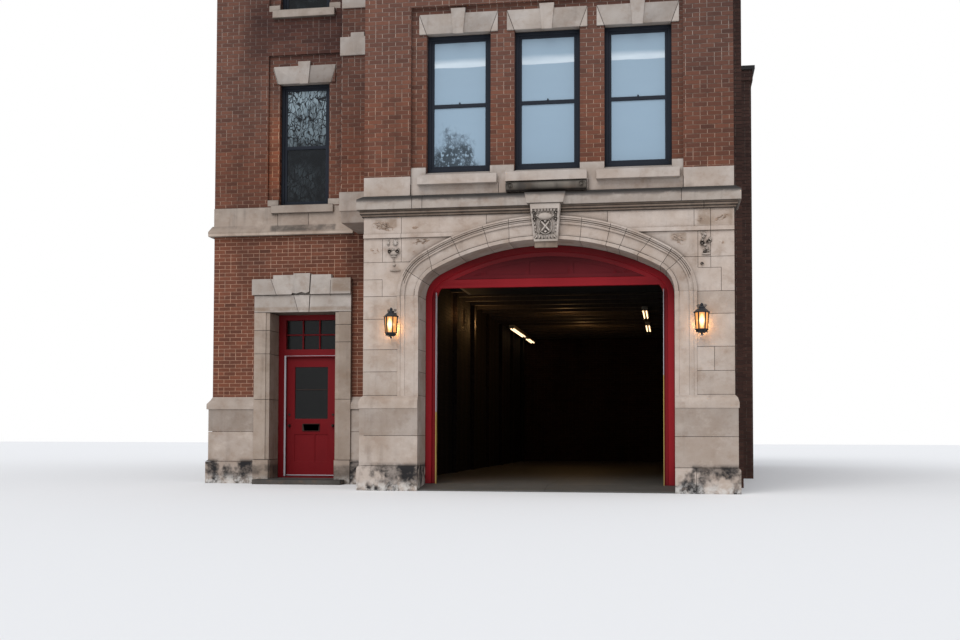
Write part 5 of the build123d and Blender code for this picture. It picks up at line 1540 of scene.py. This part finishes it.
    def build(self) -> None:
        """Build the wall, the ring, the carving and the keystone."""
        bench = self.bench
        bench.whole("arch_wall", "arch_wall_stones", Finish.LIMESTONE, 0.006, self.beds, self.uprights,
                    depth=self.wall_depth)
        ring = bench.masonry("arch_ring", [self.joint_line(*pair) for pair in self.joints], depth=self.ring_depth,
                             bevel=0.005)
        bench.cut(ring, self.groove(self.inner, *self.inner_groove))
        for groove in self.outer_grooves:
            bench.cut(ring, self.groove(self.outer, *groove))
        bench.finish(ring, "arch_voussoirs", Finish.LIMESTONE, replaces=["arch_ring"])
        bench.finish(self.drops(), "foliage_drops", Finish.CARVED)
        bench.finish(self.worn(), "worn_sprigs", Finish.RUSTY)
        key = bench.masonry("keystone", bevel=0.008)
        foot = bench.split(key, lambda middle: middle.z < self.foot_top)
        bench.finish(foot, "keystone_foot", Finish.BED_MOULD)
        bench.finish(bench.join([key, self.keystone_carving(key)]), "carved_keystone", Finish.CARVED,
                     replaces=["keystone"])


@dataclass
class BayBands(Assembly):
    """Cornice and sill course of the bay, with the ledge between them."""

    seams: tuple[Line, ...] = (upright(-2.245, 4.77, 5.05), upright(-2.065, 4.77, 5.05), upright(2.255, 4.77, 5.05),
                               upright(2.617, 4.6, 4.76))
    sill_joints: tuple[float, ...] = (-2.29, -0.78, 0.74, 2.29)
    mould_top: float = 4.769
    cornice_depth: Flat = (-2.8, -1.2)
    sill_depth: Flat = (-2.7, -1.2)
    ledge_half: float = 0.7
    ledge_back: float = -2.4
    ledge_heights: Flat = (4.99, 5.2)
    volute: Point = (0.6, -2.487, 5.092)

    def build(self) -> None:
        """Build the cornice, the sill course and the ledge's volutes."""
        bench = self.bench
        cornice = bench.masonry("bay_cornice", self.seams, depth=self.cornice_depth, bevel=0.007)
        beds = bench.split(cornice, lambda middle: middle.z < self.mould_top)
        bench.finish(cornice, "bay_cornice_stones", Finish.WEATHERED, replaces=["bay_cornice"])
        bench.finish(beds, "bay_cornice_bed_moulds", Finish.BED_MOULD)
        course = bench.masonry("bay_sill_course", [upright(x, 4.95, 5.2) for x in self.sill_joints],
                               depth=self.sill_depth, bevel=0.007)
        foot, crest = self.ledge_heights
        ledge = bench.split(course, lambda middle: middle.y < self.ledge_back and foot < middle.z < crest
                            and abs(middle.x - BAY_AXIS) < self.ledge_half)
        bench.finish(course, "bay_sill_stones", Finish.LIMESTONE, replaces=["bay_sill_course"])
        bench.finish(ledge, "bolster_ledge", Finish.SOOTED)
        across, front, height = self.volute
        ends = [place(BAY_AXIS + side * across, front, height, 0, 1, side < 0) for side in BOTH]
        bench.finish(bench.copies(Carver(bench).scroll(0.075, 0.02), ends), "ledge_volutes", Finish.SOOTED)


@dataclass
class StoneTrim(Assembly):
    """Lintels, sills, belt and base courses, corner strip stones, parapet coping and door step."""

    head: float = 7.79
    bay_lintel: Flat = (0.545, 0.685)
    wing_lintel: Flat = (0.53, 0.64)
    shelf: tuple[Flat, ...] = ((-0.02, 4.802), (0.084, 4.802), (0.093, 4.81), (0.093, 4.9), (0.03, 5.0), (-0.02, 5.0))
    shelf_run: tuple[Flat, ...] = ((-4.02, 0.3), (-4.02, 0.0), (BODY_LEFT, 0.0), (BODY_LEFT, 0.6))
    belt_joints: tuple[float, ...] = (-5.45, -4.83)
    base_beds: tuple[Line, ...] = (bed(0.42, -7.2, -3.5), bed(1.0, -7.2, -3.5))
    coping_joints: tuple[float, ...] = (-5.4, -2.0, -0.7, 0.7, 2.0)

    def lintel_joints(self) -> list[Line]:
        """Slanted joints near the ends of the bay's and the wing's lintels.

        Returns:
            The joints.
        """
        made = []
        for base in (self.head + level * STOREY for level in LEVELS):
            for x in (*BAY_WINDOWS, WING_WINDOW_X):
                foot, crest = self.wing_lintel if x == WING_WINDOW_X else self.bay_lintel
                made += [((x + side * foot, base - 0.02), (x + side * crest, base + 0.36)) for side in BOTH]
        return made

    def beside_lintel(self, middle: Vector) -> bool:
        """Whether a face lies outside the slanted ends of the wing's front lintels.

        Args:
            middle: Middle of the face.

        Returns:
            True where it does.
        """
        rise = (middle.z - self.head) % STOREY
        rise = rise if rise < 1 else rise - STOREY
        return middle.y < 0.4 and 0.541 + 0.29 * (rise + 0.02) < abs(middle.x - WING_WINDOW_X) < 0.7

    def build(self) -> None:
        """Build every trim stone."""
        bench = self.bench
        lintels = bench.masonry("window_lintels", self.lintel_joints(), depth=(-2.6, 0.4))
        bench.finish(bench.split(lintels, self.beside_lintel), "wing_lintel_closers", Finish.FRONT_BRICK, "brick")
        bench.finish(lintels, "lintel_stones", Finish.LIMESTONE, replaces=["window_lintels"])
        bench.whole("window_sills", "sill_stones", Finish.SILL, 0.008)
        belt = bench.masonry("wing_belt_course", [upright(x, 4.7, 5.5) for x in self.belt_joints],
                             depth=(-0.3, 0.3), bevel=0.007)
        bench.finish(bench.join([belt, bench.sweep(self.shelf, self.shelf_run)]), "wing_belt_stones", Finish.SILL,
                     replaces=["wing_belt_course"])
        bench.whole("wing_base_course", "wing_base_stones", Finish.FOOT_STONE, 0.007, self.base_beds,
                    depth=(-0.4, 0.5))
        bench.whole("corner_strip_stones", "corner_strip_dressings", Finish.LIMESTONE, 0.007)
        bench.whole("parapet_coping", "parapet_coping_stones", Finish.COPING, 0.01,
                    [upright(x, 13.0, 13.4) for x in self.coping_joints], depth=(-2.6, -1.8))
        bench.whole("door_step", "door_step_stone", Finish.STEP, 0.012)


@dataclass
class SideDoorway(Assembly):
    """Stone surround, red frame and hinged door of the wing's entrance."""

    surround_joints: tuple[Line, ...] = (((-5.55, 3.97), (-5.42, 3.62)), ((-4.345, 3.9), (-4.355, 3.6)),
                                         ((-5.1, 3.66), (-4.99, 3.28)))
    crack: tuple[Flat, ...] = ((-4.79, 3.28), (-4.778, 3.28), (-4.748, 3.72), (-4.726, 4.1), (-4.752, 4.1),
                               (-4.77, 3.7))
    chip: tuple[Flat, ...] = ((-5.13, 3.628), (-5.11, 3.672), (-5.02, 3.655), (-4.93, 3.685), (-4.84, 3.66),
                              (-4.76, 3.69), (-4.76, 3.628))
    feet: tuple[Box, ...] = (((-4.275, -0.085, 0.0), (-3.925, 0.1, 0.455)),
                             ((-5.905, -0.085, 0.0), (-5.555, 0.1, 0.455)))
    jamb_beds: tuple[Line, ...] = (bed(2.955, -6.0, -5.4), bed(2.5, -6.0, -5.4), bed(2.715, -4.4, -3.8),
                                   bed(3.05, -4.4, -3.8), bed(3.3, -6.0, -5.42), bed(3.3, -4.41, -3.8),
                                   bed(1.62, -6.0, -5.4), bed(1.62, -4.4, -3.8), bed(0.46, -6.0, -5.4),
                                   bed(0.46, -4.4, -3.8), bed(3.635, -6.1, -3.8))
    head_foot: float = 3.31
    leaf_front: float = 0.515
    letter_plate: tuple[Flat, ...] = ((-5.075, 1.158), (-4.735, 1.158), (-4.757, 1.018), (-5.053, 1.018))
    seals: tuple[Box, ...] = (((-5.448, 0.436, 0.13), (-5.412, 0.452, 2.5)),
                              ((-5.448, 0.442, 2.488), (-4.40, 0.452, 2.498)))

    def stone(self) -> None:
        """Build the surround of the doorway."""
        bench = self.bench
        surround = bench.masonry("door_surround", self.jamb_beds, self.surround_joints, depth=(-0.4, 0.6))
        for outline, back in ((self.crack, -0.02), (self.chip, -0.062)):
            bench.cut(surround, bench.prism(outline, -0.4, back))
        head = bench.split(surround, lambda middle: middle.z > self.head_foot)
        bench.finish(head, "door_head_stones", Finish.HEAD_STONE)
        bench.finish(bench.join([surround, bench.blocks(self.feet, 0.02, 2)]), "door_jamb_stones", Finish.JAMB_STONE,
                     replaces=["door_surround"])

    def joinery(self) -> None:
        """Build the frame, the leaf and what is fixed to it."""
        bench, front, leaf = self.bench, self.leaf_front, "side_door"
        for node, name, finish, bevel, slot, body in (
                ("side_door_frame", "side_door_woodwork", Finish.DOOR_RED, 0.004, "red_paint", "building"),
                ("side_door", "side_door_leaf", Finish.DOOR_RED, 0.003, "red_paint", leaf),
                ("side_door_hardware", "side_door_fittings", Finish.BRONZE, 0.0015, "door_hardware", leaf),
                ("side_door_hinges", "side_door_knuckles", Finish.BRONZE, 0.001, "door_hardware", "building")):
            bench.whole(node, name, finish, bevel, slot=slot, body=body)
        letter = bench.prism(self.letter_plate, front - 0.02, front - 0.006, "Y", 0.004)
        bar = bench.blocks([((-5.25, front + 0.004, 1.82), (-4.58, front + 0.014, 1.836))], 0.002)
        bench.finish(bench.join([letter, bar]), "door_bar_and_letter_plate", Finish.BRONZE, "door_hardware", body=leaf)
        foot = bench.blocks([((-5.41, front - 0.018, 0.14), (-4.42, front + 0.002, 0.156))], 0.004, 2)
        bench.finish(foot, "weather_bar", Finish.SEAL, "door_hardware", body=leaf)
        bench.finish(bench.blocks(self.seals, 0.003), "door_weather_strip", Finish.SEAL, "door_hardware")

    def build(self) -> None:
        """Build the stone and the joinery."""
        self.stone()
        self.joinery()


@dataclass
class ApparatusDoorway(Assembly):
    """Red lining of the apparatus doorway, the panelled board over it and the door raised behind."""

    strips: tuple[tuple[Finish, str, tuple[Point, ...]], ...] = (
        (Finish.CREAM, "cream_edge_strips", ((-1.957, 0.04, 1.34), (1.957, 0.04, 1.96))),
        (Finish.SEAL, "pale_edge_strips", ((-1.957, 1.34, 3.42), (1.957, 1.96, 3.42))))
    strip_depth: Flat = (-1.752, -1.66)
    fixtures: tuple[Point, ...] = ((-2.45, 11.8, 14.6), (-2.45, 15.5, 17.0), (1.45, 7.5, 9.3), (1.45, 11.4, 13.2))
    tube_length: float = 1.45
    tube_height: float = 4.031

    def lights(self) -> None:
        """Build the casings of the ceiling lights and the tubes under them."""
        bench = self.bench
        bench.whole("ceiling_lights", "light_casings", Finish.WHITE_ENAMEL, 0.004, slot="light_casing")
        tubes = []
        for x, start, end in self.fixtures:
            count = max(2, round((end - start) / self.tube_length))
            pitch = (end - start) / count
            rings = [(0.01, 0.04), (0.013, 0.05), (0.013, pitch - 0.05), (0.01, pitch - 0.04)]
            tubes += [bench.turned(rings, 8, (x + side * 0.04, start + pitch * (count - number), self.tube_height), "Y")
                      for number in range(count) for side in BOTH]
        bench.finish(bench.join(tubes), "light_tubes", Finish.TUBE, "light_casing")

    def build(self) -> None:
        """Build the lining, the board, the door, its tracks and the lights."""
        bench, (front, back) = self.bench, self.strip_depth
        bench.whole("apparatus_door_frame", "apparatus_door_lining", Finish.RED, 0.005, slot="red_paint")
        bench.whole("tympanum", "panelled_board", Finish.DARK_RED, 0.003, slot="red_paint")
        for finish, name, strips in self.strips:
            boxes = [((x - 0.006, front, low), (x + 0.006, back, high)) for x, low, high in strips]
            bench.finish(bench.blocks(boxes, 0.002), name, finish, "red_paint")
        bench.whole("overhead_door", "overhead_door_sections", Finish.STEEL_DOOR, 0.003, slot="steel_door")
        bench.whole("overhead_door_tracks", "overhead_tracks", Finish.GALVANISED, 0.001, slot="galvanised")
        self.lights()


@dataclass
class Windows(Assembly):
    """Sashes of every window, and the front's glass in two finishes."""

    wing_edge: float = -3.2
    lock_height: float = 6.615
    bay_sash: float = -2.125
    wing_sash: float = 0.2

    def build(self) -> None:
        """Build the sashes with eased edges, their locks and the glass."""
        bench, edge = self.bench, self.wing_edge
        bench.whole("front_window_frames", "front_sashes", Finish.FRAME_PAINT, 0.004, slot="window_paint")
        bench.whole("side_window_frames", "side_sashes", Finish.FRAME_PAINT, 0.003, slot="window_paint")
        glass = bench.merged_node("front_window_glass")
        wing = bench.split(glass, lambda middle: middle.x < edge)
        bench.finish(glass, "bay_panes", Finish.BAY_GLASS, "glass", ["front_window_glass"])
        bench.finish(wing, "wing_panes", Finish.WING_GLASS, "glass")
        lock = bench.turned([(0.012, 0.0), (0.016, 0.006), (0.01, 0.018), (0.004, 0.03)], 8)
        spots = []
        for x in (*BAY_WINDOWS, WING_WINDOW_X):
            front = self.bay_sash if x > edge else self.wing_sash
            spots += [Matrix.Translation((x, front, self.lock_height + level * STOREY)) for level in LEVELS]
        bench.finish(bench.copies(lock, spots), "sash_locks", Finish.SASH_PAINT, "window_paint")


@dataclass
class Lanterns(Assembly):
    """Two lit six-sided lanterns on the piers, each on its bracket. Heights of rings count from their own base."""

    across: float = 2.57
    front: float = -2.54
    floor: float = 2.655
    eaves: float = 2.925
    foot_radius: float = 0.095
    eaves_radius: float = 0.11
    sides: int = 6
    post_half: float = 0.0085
    roof: tuple[Flat, ...] = ((0.128, -0.004), (0.131, 0.01), (0.112, 0.022), (0.088, 0.045), (0.06, 0.066),
                              (0.05, 0.076), (0.056, 0.082), (0.05, 0.094), (0.03, 0.108))
    foot: tuple[Flat, ...] = ((0.035, -0.062), (0.07, -0.045), (0.082, -0.022), (0.106, -0.014), (0.106, 0.006))
    ball: tuple[Flat, ...] = ((0.01, 0.1), (0.022, 0.108), (0.03, 0.122), (0.026, 0.138), (0.012, 0.15),
                              (0.004, 0.158))
    tail: tuple[Flat, ...] = ((0.004, -0.093), (0.014, -0.086), (0.018, -0.076), (0.01, -0.066), (0.03, -0.06))
    drop: tuple[Flat, ...] = ((0.004, -0.05), (0.011, -0.04), (0.006, -0.012))

    def form(self, rings: Sequence[Flat], base: float, sides: int, turn: float = 0.0, **turned: object) -> Piece:
        """Turned form of one lantern round the upright axis.

        Args:
            rings: Radius and height over the base of each ring.
            base: Height of the base.
            sides: Sides of the form.
            turn: Degrees that it turns round the axis.
            turned: What the bench takes besides.

        Returns:
            The form.
        """
        made = self.bench.turned([(radius, base + rise) for radius, rise in rings], sides, **turned)
        if turn:
            made.data.transform(Matrix.Rotation(math.radians(turn), 4, "Z"))
        return made

    def cage(self) -> Piece:
        """Posts, roof, foot, knobs, drops and bracket of one lantern round the upright axis.

        Returns:
            The ironwork.
        """
        bench, top, low, half = self.bench, self.eaves, self.floor, self.post_half
        roof = self.form(self.roof, top, self.sides, 30, smooth=20)
        foot = self.form(self.foot, low, self.sides, 30, smooth=20)
        ball, tail = self.form(self.ball, top, 12), self.form(self.tail, low, 12)
        drops = bench.copies(self.form(self.drop, low, 8, centre=(0.085, 0, 0)), spins(self.sides))
        wall = BAY_FRONT - self.front
        arm = bench.blocks([((-0.05, wall - 0.014, 2.82), (0.05, wall + 0.002, 3.01)),
                            ((-0.011, 0.0, 2.99), (0.011, wall, 3.012)),
                            ((-0.009, 0.0, low - 0.012), (0.009, wall, low + 0.004))], 0.004)
        curl = bench.copies(Carver(bench).scroll(0.034, 0.012),
                            [Matrix.Translation((x, 0.05, 3.035)) for x in (0.055, -0.055)])
        rows = [[(radius + x * half, y * half, z) for x, y in ((-1, -1), (1, -1), (1, 1), (-1, 1))]
                for radius, z in ((self.foot_radius, low), (self.eaves_radius, top))]
        posts = bench.copies(bench.skin(rows, True), spins(self.sides))
        return bench.join([posts, roof, foot, ball, tail, drops, arm, curl])

    def build(self) -> None:
        """Build both lanterns: ironwork and glass."""
        bench = self.bench
        sides = [Matrix.Translation((side * self.across, self.front, 0)) for side in BOTH]
        bench.finish(bench.copies(self.cage(), sides), "lantern_iron", Finish.BLACK_IRON, "black_iron", ["lanterns"])
        glass = self.form([(self.foot_radius - 0.008, 0.0), (self.eaves_radius - 0.008, self.eaves - self.floor)],
                          self.floor, self.sides, 30, smooth=0)
        bench.finish(bench.copies(glass, sides), "lantern_glass", Finish.LAMP_GLASS, "light_casing")


@dataclass
class TopAndChimney(Assembly):
    """Metal cornice and chimney cap."""

    def build(self) -> None:
        """Build the cornice and the cap."""
        self.bench.whole("top_cornice", "top_cornice_sheet", Finish.CORNICE_METAL, 0.008, slot="cornice_metal")
        self.bench.whole("chimney_cap", "chimney_cap_steps", Finish.CAP_METAL, 0.006, slot="cap_metal")


@dataclass
class Shell:
    """CAD nodes that stay in sight as they are, each with its finish."""

    palette: Palette
    nodes: tuple[tuple[Finish, tuple[str, ...]], ...] = (
        (Finish.FRONT_BRICK, ("wing_wall_left", "wing_wall_right", "wing_wall_upper", "bay_second_floor_wall",
                              "bay_third_floor_wall", "corner_strip")),
        (Finish.SIDE_BRICK, ("bay_left_wall", "bay_right_wall", "left_wall", "right_wall", "rear_wall",
                             "chimney_breast")),
        (Finish.ROOM_BRICK, ("bearing_wall",)), (Finish.CONCRETE, ("floor_slab",)),
        (Finish.DOOR_GLASS, ("transom_glass", "side_door_glass")), (Finish.WING_GLASS, ("side_window_glass",)),
        (Finish.BLIND, ("front_window_blinds",)), (Finish.TIMBER, ("second_floor", "third_floor")),
        (Finish.DARK_ROOM, ("ceiling_joists",)), (Finish.ROOFING, ("roof_deck",)))

    def build(self) -> None:
        """Give each node its finish."""
        for finish, names in self.nodes:
            material = self.palette.get(finish)
            for name in names:
                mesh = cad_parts[name].data
                for slot in range(len(mesh.materials)):
                    mesh.materials[slot] = material
                LOG.info("%s: %s", name, finish.name)


@dataclass
class Stage:
    """Pale floor, soft light and the camera of the photo."""

    floor_size: float = 240
    grey: Colour = (0.8, 0.8, 0.8)
    ambient: Colour = (0.7, 0.72, 0.76)
    backdrop: Colour = (1.0, 1.0, 1.0)
    sun_power: float = 1.6
    sun_tilt: Flat = (42, -14)
    sun_spread: float = 40
    lamps: tuple[tuple[str, Point, float], ...] = (
        ("left_lantern_glow", (-2.57, -2.41, 2.74), 4.0), ("right_lantern_glow", (2.57, -2.41, 2.74), 4.0),
        ("near_wall_glow", (-2.55, 4.1, 3.65), 3.5), ("middle_wall_glow", (-2.55, 5.4, 3.7), 3.5),
        ("far_wall_glow", (-2.55, 6.8, 3.7), 9.0), ("room_glow", (-0.6, 8.5, 3.85), 13.0),
        ("far_room_glow", (-0.4, 12.0, 3.85), 16.0))
    lamp_colour: Colour = (1.0, 0.55, 0.2)
    lamp_radius: float = 0.04
    spot: Point = (2.055, -21.556, 0.930)
    yaw: float = 9.27
    pitch: float = 2.14
    roll: float = 0.15
    lens: float = 43.61
    sensor: float = 36
    rise: float = 0.0753
    sight: float = 500

    def hang(self, name: str, data: bpy.types.ID) -> Piece:
        """Put a light or a camera into the scene.

        Args:
            name: Its name.
            data: The light or the camera.

        Returns:
            Its object.
        """
        made = bpy.data.objects.new(name, data)
        bpy.context.scene.collection.objects.link(made)
        return made

    def floor(self) -> None:
        """Lay the floor."""
        Bench.clear()
        bpy.ops.mesh.primitive_plane_add(size=self.floor_size, location=(0, 0, 0))
        sheet = bpy.context.object
        sheet.name = "studio_floor"
        sheet.data.materials.append(Shader("studio_floor").close({"Base Color": self.grey, "Roughness": 0.9}))

    def light(self) -> None:
        """Hang soft lights before and over the front."""
        world = bpy.data.worlds.new("studio")
        bpy.context.scene.world = world
        world.use_nodes = True
        nodes, links = world.node_tree.nodes, world.node_tree.links
        mix = nodes.new("ShaderNodeMix")
        mix.data_type = "RGBA"
        for number, colour in ((6, self.ambient), (7, self.backdrop)):
            mix.inputs[number].default_value = (*colour, 1.0)
        links.new(nodes.new("ShaderNodeLightPath").outputs["Is Camera Ray"], mix.inputs[0])
        links.new(mix.outputs[2], nodes["Background"].inputs[0])
        sun = bpy.data.lights.new("soft_sky", "SUN")
        sun.energy, sun.angle = self.sun_power, math.radians(self.sun_spread)
        self.hang("soft_sky", sun).rotation_euler = (*map(math.radians, self.sun_tilt), 0)
        for name, spot, watts in self.lamps:
            bulb = bpy.data.lights.new(name, "POINT")
            bulb.energy, bulb.color, bulb.shadow_soft_size = watts, self.lamp_colour, self.lamp_radius
            glow = self.hang(name, bulb)
            glow.location, glow.visible_camera = spot, False

    def camera(self) -> None:
        """Set up the camera."""
        data = bpy.data.cameras.new("street_view")
        data.sensor_width, data.lens, data.shift_y, data.clip_end = self.sensor, self.lens, self.rise, self.sight
        yaw, pitch = math.radians(self.yaw), math.radians(self.pitch)
        ahead = Vector((-math.sin(yaw) * math.cos(pitch), math.cos(yaw) * math.cos(pitch), math.sin(pitch)))
        turn = ahead.to_track_quat("-Z", "Y").to_matrix().to_4x4()
        camera = self.hang("street_view", data)
        camera.matrix_world = Matrix.Translation(self.spot) @ turn @ Matrix.Rotation(math.radians(self.roll), 4, "Z")
        bpy.context.scene.camera = camera

    def build(self) -> None:
        """Set the stage."""
        self.floor()
        self.light()
        self.camera()
        bpy.context.scene.view_settings.view_transform = "Standard"


def main() -> None:
    """Build the looks of the station, piece by piece."""
    logging.basicConfig(level=logging.INFO, format="%(message)s")
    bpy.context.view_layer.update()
    palette = Palette()
    bench = Bench(palette)
    for assembly in (Piers, ArchFront, BayBands, StoneTrim, SideDoorway, ApparatusDoorway, Windows, Lanterns,
                     TopAndChimney):
        assembly(bench).build()
    Shell(palette).build()
    Stage().build()
    Bench.clear()


if __name__ == "__main__":
    main()
